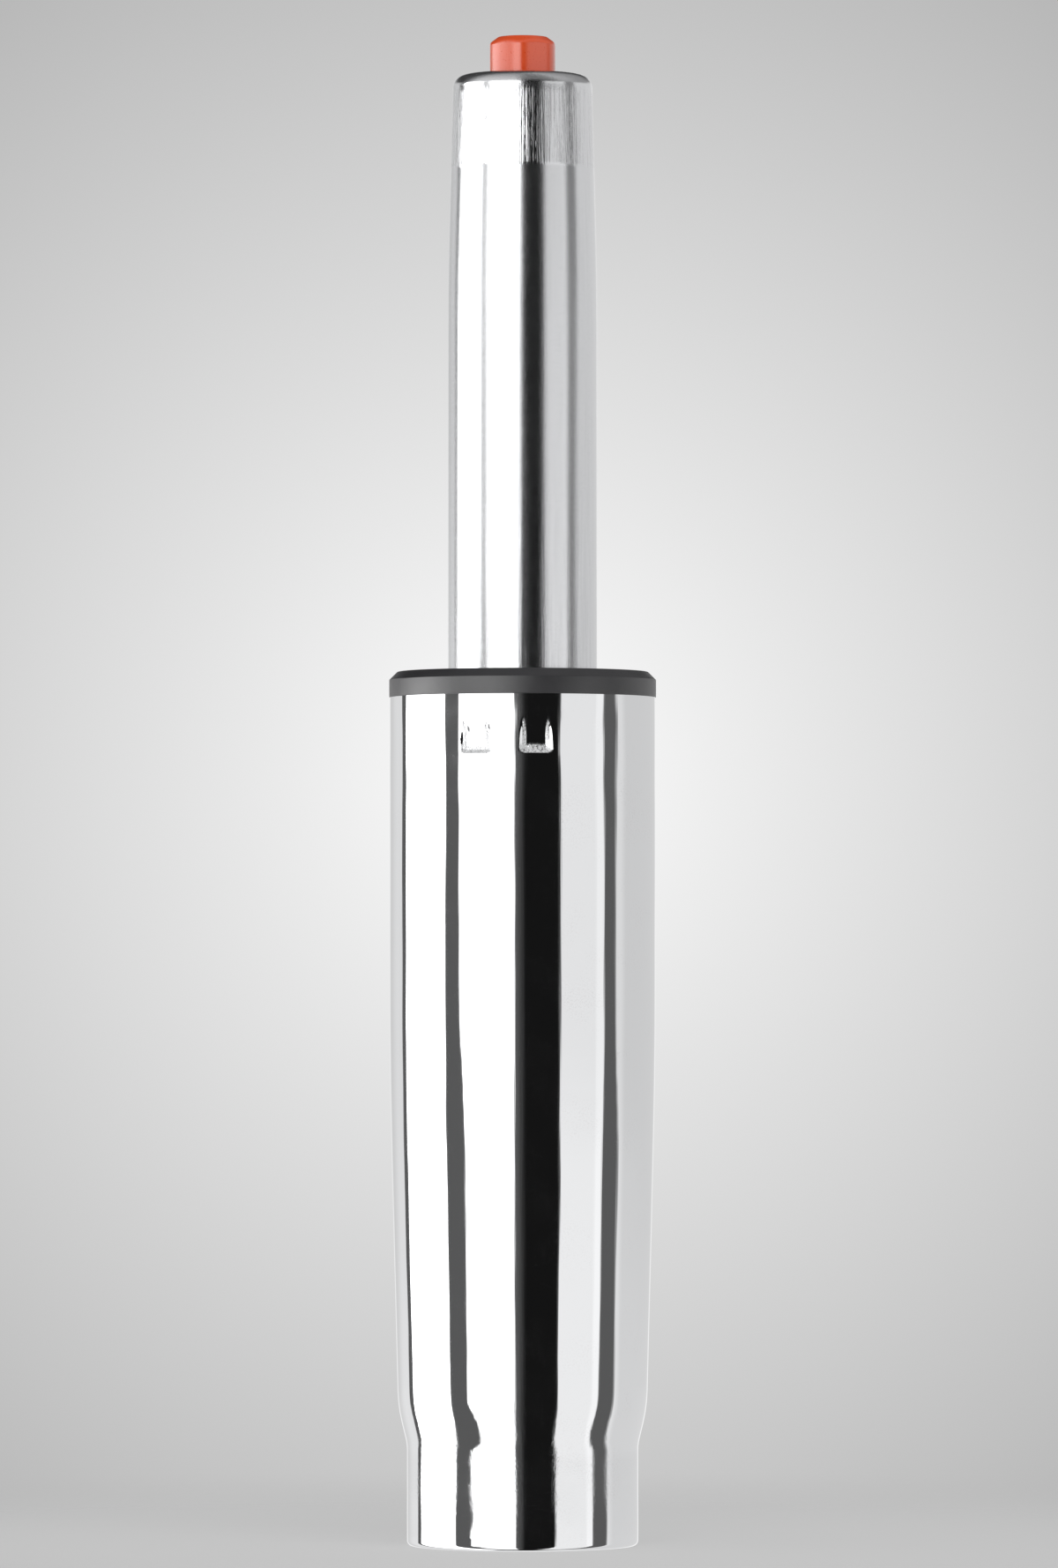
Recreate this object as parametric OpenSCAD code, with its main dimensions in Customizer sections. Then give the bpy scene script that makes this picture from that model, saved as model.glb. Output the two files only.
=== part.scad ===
// Height-adjusting gas lift for a swivel chair, drawn at full extension.
// Millimetres, +Z up, origin at the middle of the foot rim that the lift stands on.

/* [Outer tube] */
// Outside diameter of the barrel
tube_d = 50; // [48:0.5:54]
// Length of the tube from its foot rim to its top edge
tube_len = 159.2; // [152:0.4:200]
// Wall of the tube
tube_wall = 2; // [1.6:0.1:2.4]
// Length of the cone that wedges in the hub of the chair's base
cone_len = 64; // [50:1:68]
// Length of the hub cone in which its diameter changes by one
cone_ratio = 20; // [18:1:24]
// Radius of the long blend between the hub cone and the barrel
cone_blend = 1400; // [600:100:1600]
// How far the drawn-in neck at the foot stands back from the foot of the hub cone
neck_step = 1.7; // [1.3:0.1:2.1]
// Height of the neck
neck_len = 19; // [18.5:0.5:22]
// Height of the sloping shoulder between the neck and the hub cone
shoulder_len = 7; // [6:0.5:9]
// Radius at the foot of the shoulder
shoulder_foot_round = 4; // [2:0.5:5]
// Radius at the top of the shoulder
shoulder_top_round = 12; // [6:1:16]
// Rounding of the foot's outer edge
foot_round = 1; // [0.6:0.1:1.6]
// How far the rolled foot rim reaches in from the bore
rim_reach = 2.4; // [1.8:0.1:3]
// Thickness of the rolled foot rim
rim_h = 2; // [1.5:0.1:2.5]

/* [Crimp dents] */
// Number of pairs of dents that hold the guide bush
dent_pairs = 3; // [2:1:4]
// Angle between the two dents of a pair
dent_spread = 26.4; // [20:0.4:36]
// Angle from the front to the middle of the first pair
dent_turn = -7.4; // [-20:0.2:20]
// Width of a dent
dent_w = 6.6; // [5:0.1:7.6]
// Height of a dent
dent_h = 6.6; // [5:0.1:8]
// Depth of a dent at its lower edge
dent_depth = 1.2; // [0.8:0.1:1.5]
// Distance from the tube's top edge down to a dent
dent_drop = 3.9; // [3:0.1:6]

/* [Guide bush] */
// How far the collar that covers the tube's top edge stands out from the tube
collar_step = 0.1; // [0:0.05:0.5]
// Height of the collar
collar_h = 4.8; // [4:0.1:7]
// Chamfer on the collar's top edge
collar_chamfer = 1.5; // [0.6:0.1:2]
// Distance from the tube's long blend up to the foot of the bush
bush_clear = 0.5; // [0.2:0.1:4]
// Number of ribs between the bush's sleeve and the tube
bush_ribs = 12; // [8:1:16]
// Thickness of a rib
rib_w = 2; // [1.5:0.1:3]
// Wall of the bush's sleeve
sleeve_wall = 3.4; // [2.8:0.1:4]
// Height of each guiding land in the bore of the bush
land_h = 15; // [10:1:20]
// Height of the ring at the lower end of the bush
bush_ring_h = 5; // [3:0.5:8]
// Height of the band under the groove for the dents
bush_band_h = 4; // [2:0.5:8]
// Depth of the relief between the guiding lands
bush_relief = 0.5; // [0.3:0.1:0.8]

/* [Column] */
// Outside diameter of the pressure tube
column_d = 28; // [27:0.5:30]
// Length of the pressure tube
column_len = 181; // [174:1:188]
// Wall of the pressure tube
column_wall = 2; // [1.8:0.1:2.2]
// Length of the column that stands below the guide bush at full extension
column_below = 12.6; // [8:0.2:20]
// Travel between full extension and the lowest seat height
stroke = 55; // [45:1:60]
// Length of the cone that wedges in the seat mechanism
taper_len = 38; // [34:1:48]
// Length of the seat cone in which its diameter changes by one
taper_ratio = 20; // [18:1:26]
// Radius of the long blend between the seat cone and the column
taper_blend = 800; // [400:50:900]
// Rounding of the column's top edge
top_round = 2.4; // [1.6:0.1:2.8]
// Rounding of the column's lower edge
column_foot_round = 1.5; // [0.8:0.1:2]
// Thickness of the column's rolled-in ends
lip_t = 2; // [1.6:0.1:2.4]
// Width of the lower rolled-in lip
lip_reach = 3; // [2:0.1:4]

/* [Gas spring] */
// Diameter of the piston rod
rod_d = 10; // [9:0.5:11]
// Diameter of the rod's stepped-down foot
rod_foot_d = 8; // [7:0.5:8.5]
// Diameter of the rod's stub that carries the piston
rod_stub_d = 6; // [5:0.5:7]
// Width of the gas passage between the inner cylinder and the pressure tube
gas_gap = 1.2; // [0.8:0.1:1.5]
// Wall of the inner cylinder
cylinder_wall = 1; // [0.8:0.1:1.2]
// Height of the rod guide
guide_h = 6; // [5:0.5:8]
// Height of the rod seal
seal_h = 6; // [5:0.5:7]
// Height of the seat ring under the inner cylinder
seat_h = 3; // [2.5:0.5:4]
// Height of the spigots that centre the inner cylinder
spigot_h = 3; // [2.5:0.5:4]
// Height of the piston
piston_h = 12; // [11:0.5:16]
// Width across the flats of the piston nut
nut_af = 10; // [9:0.5:12]
// Height of the piston nut
nut_h = 3.5; // [3:0.5:5]
// Thickness of the washer under the nut
piston_washer_t = 1.5; // [1:0.1:2]
// Height of the piston's glide ring
glide_h = 3.4; // [3:0.1:4]
// Thickness of the piston's glide ring
glide_t = 1; // [0.8:0.1:1.2]

/* [Valve] */
// Diameter of the valve pin
pin_d = 4; // [3.6:0.1:4.4]
// Height of the valve body above the inner cylinder
valve_h = 17; // [16:0.5:20]
// Height of the valve's spigot in the inner cylinder
valve_spigot_h = 7; // [6:0.5:8]
// Thickness of the O-rings on the valve body
ring_t = 1.9; // [1.7:0.1:2]
// Thickness of the two seals round the valve pin
pin_seal_t = 1.9; // [1.7:0.1:2.1]
// Height of the spacer between the two pin seals
spacer_h = 4; // [3.5:0.5:5]
// Height of the solid floor of the cap above the valve
cap_floor = 9; // [8:0.5:10]

/* [Release button] */
// Width across the flats of the six-sided button
button_af = 12.2; // [11:0.1:12.6]
// Height of the button above the column at rest
button_rise = 7.2; // [5:0.1:8]
// Rounding of the button's upright edges
button_corner = 1.2; // [0.6:0.1:2]
// Diameter of the button's flat top
button_face_d = 9.4; // [8:0.1:10]
// Slope of the cone that trims the button's upper corners
button_slope = 36; // [20:1:45]
// Angle from the front to a corner of the button
button_turn = -4; // [-20:1:20]
// Travel of the button when it is pressed
button_travel = 3; // [2:0.5:3.5]
// Thickness of the flange that keeps the button in
flange_t = 2.6; // [2:0.1:3]
// Height of the button's skirt under the flange
button_skirt_h = 2.6; // [2:0.1:3]

/* [Swivel bearing] */
// Diameter of a ball
ball_d = 4; // [3.6:0.1:4.4]
// Number of balls
ball_count = 9; // [6:1:10]
// Outside diameter of the races
race_d = 22; // [21:0.5:24]
// Height of a race
race_h = 2.2; // [1.8:0.1:2.6]
// Gap between the two races
race_gap = 3.6; // [3.2:0.1:3.8]
// Thickness of the ball cage
cage_t = 1.4; // [1:0.1:1.8]
// Width of the cage's edge beside the balls' pockets
cage_edge = 0.7; // [0.5:0.1:0.9]

/* [Base parts] */
// Height of the base cup from the foot rim to its top face
cup_h = 12; // [11.5:0.5:14]
// Thickness of the base cup's top
cup_t = 3.5; // [3:0.1:4]
// Thickness of the base cup's skirt
cup_wall = 2.2; // [1.8:0.1:2.6]
// Thickness of the dished washer under the bumper
dish_t = 2; // [1.6:0.1:2.4]
// Height of the rim of the dished washer
dish_rim_h = 4; // [3:0.5:6]
// Thickness of the rim of the dished washer
dish_wall = 1.2; // [1:0.1:1.5]
// Outside diameter of the rubber bumper
bumper_d = 23.2; // [22:0.1:24]
// Thickness of the washer under the base cup
washer_t = 1.2; // [1:0.1:1.4]
// Outside diameter of that washer
washer_d = 18; // [17:0.5:20]
// Thickness of the retaining clip
clip_t = 1.1; // [0.9:0.1:1.2]
// Outside diameter of the retaining clip
clip_d = 15; // [14:0.5:16]
// Width of each of the clip's three gripping lugs
clip_lug_w = 2.6; // [2:0.1:3]
// Depth of the rod's groove for the clip
clip_groove_depth = 0.9; // [0.7:0.1:1.1]
// Length of the rod's foot below the clip
rod_tip = 2.8; // [2:0.1:3]

/* [Fits] */
// Gap all round between a sliding or turning piece and its guide
running_gap = 0.06; // [0.03:0.01:0.09]
// Gap all round between pieces that are pressed or clamped together
seat_gap = 0.03; // [0.01:0.01:0.05]
// Gap all round a piece that turns without touching
free_gap = 0.6; // [0.4:0.1:0.8]

/* [Hidden] */
$fn = 96;
// Steps in which an arc of an outline is drawn
ARC_STEPS = 6;
// Turn that brings a piece drawn along +X to the front
FRONT_TURN = -90;
// How far a cutting shape runs past the face that it cuts
OVER = 1;
// How far a shape reaches into the one that it is joined to
JOIN = 0.5;
// Small chamfer on edges that a piece is fitted over
LEAD_IN = 0.5;

// Radii of the outer tube
tube_r = tube_d / 2;
bore_r = tube_r - tube_wall;
cone_foot_r = tube_r - cone_len / cone_ratio / 2;
neck_r = cone_foot_r - neck_step;
neck_bore_r = neck_r - tube_wall;
rim_r = neck_bore_r - rim_reach;
collar_r = tube_r + collar_step;
shoulder_top_z = neck_len + shoulder_len;
cone_top_z = shoulder_top_z + cone_len;
blend_top_z = cone_top_z + cone_blend / cone_ratio / 4;
bush_foot_z = blend_top_z + bush_clear;

// Heights and turns of the dents
dent_top_z = tube_len - dent_drop;
dent_foot_z = dent_top_z - dent_h;
dent_pair_turn = 360 / dent_pairs;
dent_groove_gap = 0.4;

// Radii of the column, from the outside in
column_r = column_d / 2;
column_bore_r = column_r - column_wall;
column_top_r = column_r - taper_len / taper_ratio / 2;
plug_r = column_bore_r - seat_gap;
cylinder_r = column_bore_r - gas_gap;
cylinder_bore_r = cylinder_r - cylinder_wall;
spigot_r = cylinder_bore_r - seat_gap;
rod_r = rod_d / 2;
foot_r = rod_foot_d / 2;
stub_r = rod_stub_d / 2;
pin_r = pin_d / 2;
clip_groove_r = foot_r - clip_groove_depth;

// Heights in the base, from the foot rim up
cup_top_z = rim_h + cup_h;
ball_z = cup_top_z + race_h + race_gap / 2;
upper_race_z = cup_top_z + race_h + race_gap;
dish_z = upper_race_z + race_h;
rod_shoulder_z = dish_z + dish_t;

// Heights under the base cup, from the cup down
stack_gap = 0.1;
washer_z = cup_top_z - cup_t - stack_gap - washer_t;
clip_z = washer_z - stack_gap - clip_t;
rod_foot_z = clip_z - rod_tip;

// Heights in the column at full extension
column_foot_z = bush_foot_z - column_below;
column_top_z = column_foot_z + column_len;
guide_z = column_foot_z + lip_t;
seal_z = guide_z + guide_h;
seat_z = seal_z + seal_h;
cylinder_foot_z = seat_z + seat_h;
piston_gap = 2;
piston_z = cylinder_foot_z + spigot_h + piston_gap;
nut_z = piston_z + piston_h + piston_washer_t;
stub_end = 1;
piston_land = 1.5;
piston_r = cylinder_bore_r - running_gap;
glide_z = piston_z + piston_land;
glide_groove_r = piston_r - glide_t;
piston_ring_z = glide_z + glide_h + piston_land + ring_t / 2;
bumper_gap = 0.5;
bumper_top_z = column_foot_z - stroke - bumper_gap;

// Heights in the valve, from the column's top down
button_top_z = column_top_z + button_rise;
cap_top_z = column_top_z - lip_t;
flange_z = cap_top_z - stack_gap - flange_t;
cap_h = cap_floor + stack_gap + button_travel + button_skirt_h + flange_t + stack_gap;
cap_z = cap_top_z - cap_h;
valve_z = cap_z - valve_h;
valve_foot_z = valve_z - valve_spigot_h;

// Seals round the valve pin
pin_bore_r = pin_r + running_gap;
seal_room_r = pin_bore_r + pin_seal_t + seat_gap;
seal_room_h = 2 * pin_seal_t + spacer_h + 4 * seat_gap;
seal_room_z = cap_z - seal_room_h;
port_r = 0.8;
port_z = seal_room_z + seal_room_h / 2;
pin_top_z = column_top_z + 1;
ports = 4;
body_ring_z = cap_z - 2.5;

// Release button
button_reach = button_af / sqrt(3);
hole_r = button_reach + 0.6;
flange_r = hole_r + 0.8;
cap_room_r = flange_r + 0.3;

// Swivel bearing
ball_r = ball_d / 2;
race_r = race_d / 2;
race_bore_r = foot_r + free_gap;
ball_circle_r = (race_bore_r + race_r) / 2;
track_gap = 0.05;
pocket_r = ball_r + running_gap;
cage_half_w = pocket_r + cage_edge;

function unit(v) = v / norm(v);

// Points of an arc of radius q[2] at corner q, between the corners p and s before and after it
function corner(p, q, s) =
    let (b = [q[0], q[1]], r = len(q) > 2 ? q[2] : 0)
    r == 0 ? [b] :
    let (
        u = unit([p[0], p[1]] - b),
        v = unit([s[0], s[1]] - b),
        half = acos(u * v) / 2,
        centre = b + unit(u + v) * r / sin(half),
        from = b + u * r / tan(half) - centre,
        to = b + v * r / tan(half) - centre,
        start = atan2(from[1], from[0]),
        swing = atan2(to[1], to[0]) - start,
        turn = swing > 180 ? swing - 360 : swing < -180 ? swing + 360 : swing,
        step = turn / ARC_STEPS
    )
    [for (i = [0 : ARC_STEPS]) centre + r * [cos(start + i * step), sin(start + i * step)]];

// An outline whose corners with a third value are rounded to that radius
function rounded(points) =
    let (n = len(points))
    [for (i = [0 : n - 1]) each corner(points[(i + n - 1) % n], points[i], points[(i + 1) % n])];

// A solid of revolution from an outline of radius and height
module turned(points) rotate_extrude() polygon(rounded(points));

// A plain ring between two radii
module ring(inner, outer, z, h) turned([[inner, z], [outer, z], [outer, z + h], [inner, z + h]]);

// An O-ring whose outside has the radius given
module o_ring(outer, thickness, z)
    rotate_extrude() translate([outer - thickness / 2, z]) circle(thickness / 2);

// A wedge that stands for the metal moved by one dent, from the face radius given to the outer radius
module dent_wedge(face_r, outer_r)
    rotate([90, 0, 0])
        linear_extrude(dent_w, center = true)
            polygon([
                [outer_r, dent_top_z], [face_r, dent_top_z],
                [face_r - dent_depth, dent_foot_z], [outer_r, dent_foot_z]
            ]);

module at_dents()
    for (pair = [0 : dent_pairs - 1], side = [-1, 1])
        rotate(FRONT_TURN + dent_turn + pair * dent_pair_turn + side * dent_spread / 2) children();

module outer_tube() color("gainsboro")
    difference() {
        union() {
            turned([
                [rim_r, 0], [neck_r, 0, foot_round], [neck_r, neck_len, shoulder_foot_round],
                [cone_foot_r, shoulder_top_z, shoulder_top_round], [tube_r, cone_top_z, cone_blend],
                [tube_r, tube_len], [bore_r, tube_len], [bore_r, cone_top_z, cone_blend],
                [cone_foot_r - tube_wall, shoulder_top_z, shoulder_top_round],
                [neck_bore_r, neck_len, shoulder_foot_round],
                [neck_bore_r, rim_h], [rim_r, rim_h]
            ]);
            at_dents() dent_wedge(bore_r, bore_r + JOIN);
        }
        at_dents() dent_wedge(tube_r, tube_r + OVER);
    }

module guide_bush() color("dimgray") {
    sleeve_bore_r = column_r + running_gap;
    relief_r = sleeve_bore_r + bush_relief;
    sleeve_r = sleeve_bore_r + sleeve_wall;
    sleeve_fillet = 0.8;
    rib_gap = 0.2;
    fit_r = bore_r - seat_gap;
    groove_r = bore_r - dent_depth - dent_groove_gap;
    ring_top_z = bush_foot_z + bush_ring_h;
    top_z = tube_len + collar_h;
    groove_top_z = dent_top_z + dent_groove_gap;
    groove_foot_z = dent_foot_z - dent_groove_gap;
    band_z = groove_foot_z - bush_band_h;
    turned([
        [sleeve_bore_r, bush_foot_z], [fit_r - LEAD_IN, bush_foot_z],
        [fit_r, bush_foot_z + LEAD_IN], [fit_r, ring_top_z],
        [sleeve_r, ring_top_z, sleeve_fillet], [sleeve_r, band_z, sleeve_fillet], [fit_r, band_z],
        [fit_r, groove_foot_z], [groove_r, groove_foot_z], [groove_r, groove_top_z], [fit_r, groove_top_z],
        [fit_r, tube_len], [collar_r, tube_len], [collar_r, top_z - collar_chamfer],
        [collar_r - collar_chamfer, top_z], [sleeve_bore_r + LEAD_IN, top_z],
        [sleeve_bore_r, top_z - LEAD_IN], [sleeve_bore_r, top_z - land_h],
        [relief_r, top_z - land_h - bush_relief],
        [relief_r, bush_foot_z + land_h + bush_relief], [sleeve_bore_r, bush_foot_z + land_h]
    ]);
    for (i = [0 : bush_ribs - 1])
        rotate(i * 360 / bush_ribs)
            translate([sleeve_r - JOIN, -rib_w / 2, ring_top_z - JOIN])
                cube([fit_r - rib_gap - sleeve_r + JOIN, rib_w, band_z - ring_top_z + 2 * JOIN]);
}

module base_cup() color("silver") {
    cup_r = neck_bore_r - seat_gap;
    skirt_r = cup_r - cup_wall;
    hole_in_cup_r = foot_r + running_gap;
    cup_round = 1.5;
    skirt_round = 1.2;
    ledge_r = race_r + running_gap;
    ledge_w = 1.4;
    ledge_top_z = cup_top_z + 0.8;
    turned([
        [cup_r, rim_h], [cup_r, cup_top_z, cup_round], [ledge_r + ledge_w, cup_top_z],
        [ledge_r + ledge_w, ledge_top_z], [ledge_r, ledge_top_z], [ledge_r, cup_top_z],
        [hole_in_cup_r, cup_top_z], [hole_in_cup_r, cup_top_z - cup_t],
        [skirt_r, cup_top_z - cup_t, skirt_round], [skirt_r, rim_h]
    ]);
}

// A bearing race with the balls' track in one face
module race(inner, z)
    difference() {
        race_round = 0.3;
        turned([
            [inner, z], [race_r, z, race_round],
            [race_r, z + race_h, race_round], [inner, z + race_h]
        ]);
        rotate_extrude() translate([ball_circle_r, ball_z]) circle(ball_r + track_gap);
    }

module lower_race() color("lightsteelblue") race(race_bore_r, cup_top_z);

module upper_race() color("lightsteelblue") race(foot_r + running_gap, upper_race_z);

module at_balls()
    for (i = [0 : ball_count - 1])
        rotate(i * 360 / ball_count) translate([ball_circle_r, 0, ball_z]) children();

module ball_cage() color("goldenrod")
    difference() {
        ring(ball_circle_r - cage_half_w, ball_circle_r + cage_half_w, ball_z - cage_t / 2, cage_t);
        at_balls() cylinder(r = pocket_r, h = cage_t + OVER, center = true);
    }

module bearing_balls() color("whitesmoke") at_balls() sphere(ball_r);

module piston_rod() color("silver") {
    edge = 0.6;
    groove_z = clip_z - stack_gap / 2;
    groove_top_z = groove_z + clip_t + stack_gap;
    top_z = nut_z + nut_h + stub_end;
    turned([
        [0, rod_foot_z], [foot_r - edge, rod_foot_z], [foot_r, rod_foot_z + edge],
        [foot_r, groove_z], [clip_groove_r, groove_z], [clip_groove_r, groove_top_z],
        [foot_r, groove_top_z], [foot_r, rod_shoulder_z], [rod_r, rod_shoulder_z],
        [rod_r, piston_z], [stub_r, piston_z], [stub_r, top_z - edge], [stub_r - edge, top_z], [0, top_z]
    ]);
}

module bumper_dish() color("gray") {
    dish_round = 1;
    rim_inner_r = bumper_d / 2 + running_gap;
    rim_outer_r = rim_inner_r + dish_wall;
    turned([
        [foot_r + running_gap, dish_z], [rim_outer_r, dish_z, dish_round],
        [rim_outer_r, dish_z + dish_rim_h], [rim_inner_r, dish_z + dish_rim_h],
        [rim_inner_r, rod_shoulder_z], [foot_r + running_gap, rod_shoulder_z]
    ]);
}

// Height on the rubber bumper at the share given of its own height
function bumper_z(share) = rod_shoulder_z + share * (bumper_top_z - rod_shoulder_z);

// Rubber bumper with a waist
module rubber_bumper() color("#3a3a3a") {
    bumper_r = bumper_d / 2;
    bumper_bore_r = rod_r + 0.2;
    waist_depth = 2;
    crown_step = 1.4;
    bulge_round = 0.6;
    crown_round = 1.2;
    bulge_share = 0.36;
    waist_share = 0.5;
    crown_share = 0.64;
    crown_r = bumper_r - crown_step;
    turned([
        [bumper_bore_r, rod_shoulder_z], [bumper_r, rod_shoulder_z],
        [bumper_r, bumper_z(bulge_share), bulge_round],
        [bumper_r - waist_depth, bumper_z(waist_share), bulge_round],
        [crown_r, bumper_z(crown_share), bulge_round],
        [crown_r, bumper_top_z, crown_round], [bumper_bore_r, bumper_top_z]
    ]);
}

module rod_washer() color("silver") ring(foot_r + running_gap, washer_d / 2, washer_z, washer_t);

// An E-shaped clip that is open towards +X and grips the rod's groove with three lugs
module retaining_clip() color("darkgray") {
    grip_r = clip_groove_r + seat_gap;
    hollow_r = foot_r + 1.4;
    lug_r = (hollow_r + clip_d / 2) / 2;
    side_turn = 75;
    translate([0, 0, clip_z])
        difference() {
            union() {
                difference() {
                    cylinder(r = clip_d / 2, h = clip_t);
                    translate([0, 0, -OVER]) cylinder(r = hollow_r, h = clip_t + 2 * OVER);
                    translate([0, -grip_r, -OVER]) cube([clip_d, 2 * grip_r, clip_t + 2 * OVER]);
                }
                for (turn = [-side_turn, side_turn, 180])
                    rotate(turn) translate([0, -clip_lug_w / 2, 0]) cube([lug_r, clip_lug_w, clip_t]);
            }
            translate([0, 0, -OVER]) cylinder(r = grip_r, h = clip_t + 2 * OVER);
        }
}

// Groove for an O-ring that lies against the bore of the radius given
module o_ring_groove(wall_r, z)
    ring(wall_r - ring_t - seat_gap, wall_r + OVER, z - ring_t / 2 - seat_gap, ring_t + 2 * seat_gap);

module piston() color("darkkhaki")
    difference() {
        edge_round = 0.6;
        turned([
            [stub_r + seat_gap, piston_z], [piston_r, piston_z, edge_round],
            [piston_r, piston_z + piston_h, edge_round], [stub_r + seat_gap, piston_z + piston_h]
        ]);
        ring(glide_groove_r, piston_r + OVER, glide_z - seat_gap, glide_h + 2 * seat_gap);
        o_ring_groove(piston_r, piston_ring_z);
    }

module piston_glide_ring() color("whitesmoke")
    ring(glide_groove_r + seat_gap, cylinder_bore_r - running_gap / 2, glide_z, glide_h);

module piston_o_ring() color("#2b2b2b") o_ring(piston_r, ring_t, piston_ring_z);

module piston_washer() color("silver")
    ring(stub_r + seat_gap, nut_af / sqrt(3) + 1, piston_z + piston_h, piston_washer_t);

module piston_nut() color("lightgray")
    translate([0, 0, nut_z])
        difference() {
            cylinder(r = nut_af / sqrt(3), h = nut_h, $fn = 6);
            translate([0, 0, -OVER]) cylinder(r = stub_r + seat_gap, h = nut_h + 2 * OVER);
        }

module pressure_tube() color("lightgray")
    turned([
        [column_bore_r - lip_reach, column_foot_z], [column_r, column_foot_z, column_foot_round],
        [column_r, column_top_z - taper_len, taper_blend], [column_top_r, column_top_z, top_round],
        [hole_r, column_top_z], [hole_r, cap_top_z], [column_bore_r, cap_top_z],
        [column_bore_r, guide_z], [column_bore_r - lip_reach, guide_z]
    ]);

module inner_cylinder() color("silver")
    ring(cylinder_bore_r, cylinder_r, cylinder_foot_z, valve_z - cylinder_foot_z);

module rod_guide() color("burlywood")
    difference() {
        edge_round = 0.4;
        turned([
            [rod_r + running_gap, guide_z], [plug_r, guide_z, edge_round], [plug_r, seal_z, edge_round],
            [rod_r + running_gap, seal_z]
        ]);
        o_ring_groove(plug_r, guide_z + guide_h / 2);
    }

module guide_o_ring() color("#2b2b2b") o_ring(plug_r, ring_t, guide_z + guide_h / 2);

// Seal with a solid back, an outer rim and an inner lip that wipes the rod
module rod_seal() color("#2f2f2f") {
    lip_bore_r = rod_r + running_gap;
    lip_w = 1.6;
    flare = 0.6;
    cavity_z = seat_z - 0.4 * seal_h;
    scoop_top_z = seat_z - 0.3 * seal_h;
    scoop_z = seal_z + 1.2;
    turned([
        [lip_bore_r, seal_z], [plug_r, seal_z], [plug_r, seat_z], [plug_r - lip_w, seat_z],
        [plug_r - lip_w - flare, cavity_z], [lip_bore_r + lip_w + flare, cavity_z],
        [lip_bore_r + lip_w, seat_z - LEAD_IN], [lip_bore_r, seat_z - LEAD_IN],
        [lip_bore_r, scoop_top_z], [lip_bore_r + LEAD_IN, scoop_top_z - LEAD_IN],
        [lip_bore_r + LEAD_IN, scoop_z]
    ]);
}

// Seat ring with four slots that let the gas pass round the inner cylinder
module cylinder_seat() color("lightslategray")
    difference() {
        slots = 4;
        slot_w = 3;
        slot_r = rod_r + free_gap + 1.5;
        turned([
            [rod_r + free_gap, seat_z], [plug_r, seat_z], [plug_r, cylinder_foot_z],
            [spigot_r, cylinder_foot_z], [spigot_r, cylinder_foot_z + spigot_h, LEAD_IN],
            [rod_r + free_gap, cylinder_foot_z + spigot_h]
        ]);
        for (i = [0 : slots - 1])
            rotate(i * 360 / slots)
                translate([slot_r, -slot_w / 2, cylinder_foot_z - seat_h / 2])
                    cube([column_r, slot_w, seat_h + spigot_h]);
    }

module at_ports()
    for (i = [0 : ports - 1])
        rotate(i * 360 / ports) children();

// Cross bore of one port at the height of the spacer
module port_bore()
    translate([0, 0, port_z]) rotate([0, 90, 0]) cylinder(r = port_r, h = column_r);

module valve_body() color("darkgoldenrod") {
    channel_w = 3;
    difference() {
        turned([
            [pin_bore_r, valve_foot_z], [spigot_r, valve_foot_z, LEAD_IN], [spigot_r, valve_z],
            [plug_r, valve_z], [plug_r, cap_z], [seal_room_r, cap_z], [seal_room_r, seal_room_z],
            [pin_bore_r, seal_room_z]
        ]);
        o_ring_groove(spigot_r, valve_foot_z + valve_spigot_h / 2);
        o_ring_groove(plug_r, body_ring_z);
        ring(cylinder_r, plug_r + OVER, port_z - channel_w / 2, channel_w);
        at_ports() {
            port_bore();
            rotate(180 / ports)
                translate([cylinder_r, -channel_w / 2, valve_z - OVER])
                    cube([column_r - cylinder_r, channel_w, port_z - valve_z + OVER]);
        }
    }
}

module body_o_ring() color("#2b2b2b") o_ring(plug_r, ring_t, body_ring_z);

module spigot_o_ring() color("#2b2b2b") o_ring(spigot_r, ring_t, valve_foot_z + valve_spigot_h / 2);

module pin_seals() color("#2b2b2b")
    for (z = [seal_room_z + seat_gap + pin_seal_t / 2, cap_z - seat_gap - pin_seal_t / 2])
        o_ring(seal_room_r - seat_gap, pin_seal_t, z);

module seal_spacer() color("ivory")
    difference() {
        ring(pin_bore_r + seat_gap, seal_room_r - seat_gap, port_z - spacer_h / 2, spacer_h);
        at_ports() port_bore();
    }

module valve_cap() color("slategray")
    turned([
        [pin_bore_r, cap_z], [plug_r, cap_z], [plug_r, cap_top_z], [cap_room_r, cap_top_z],
        [cap_room_r, cap_z + cap_floor], [pin_bore_r, cap_z + cap_floor]
    ]);

// Six-sided button whose upper corners are trimmed by a cone, on the flange that keeps it in
module release_button() color("#e2603c") {
    face_r = button_face_d / 2;
    trim_h = (button_reach - face_r) * tan(button_slope);
    sides = 6;
    side_turn = 360 / sides;
    hexagon = rounded([
        for (i = [0 : sides - 1])
            [button_reach * cos(i * side_turn), button_reach * sin(i * side_turn), button_corner]
    ]);
    skirt_z = flange_z - button_skirt_h;
    skirt_step = 2;
    difference() {
        union() {
            intersection() {
                rotate(FRONT_TURN + button_turn)
                    translate([0, 0, flange_z + flange_t])
                        linear_extrude(button_top_z - flange_z - flange_t) polygon(hexagon);
                turned([
                    [0, flange_z], [button_reach, flange_z], [button_reach, button_top_z - trim_h],
                    [face_r, button_top_z], [0, button_top_z]
                ]);
            }
            translate([0, 0, flange_z]) cylinder(r = flange_r, h = flange_t);
            translate([0, 0, skirt_z]) cylinder(r = flange_r - skirt_step, h = button_skirt_h);
        }
        translate([0, 0, skirt_z - OVER])
            cylinder(r = pin_r + seat_gap, h = pin_top_z + stack_gap - skirt_z + OVER);
    }
}

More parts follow.
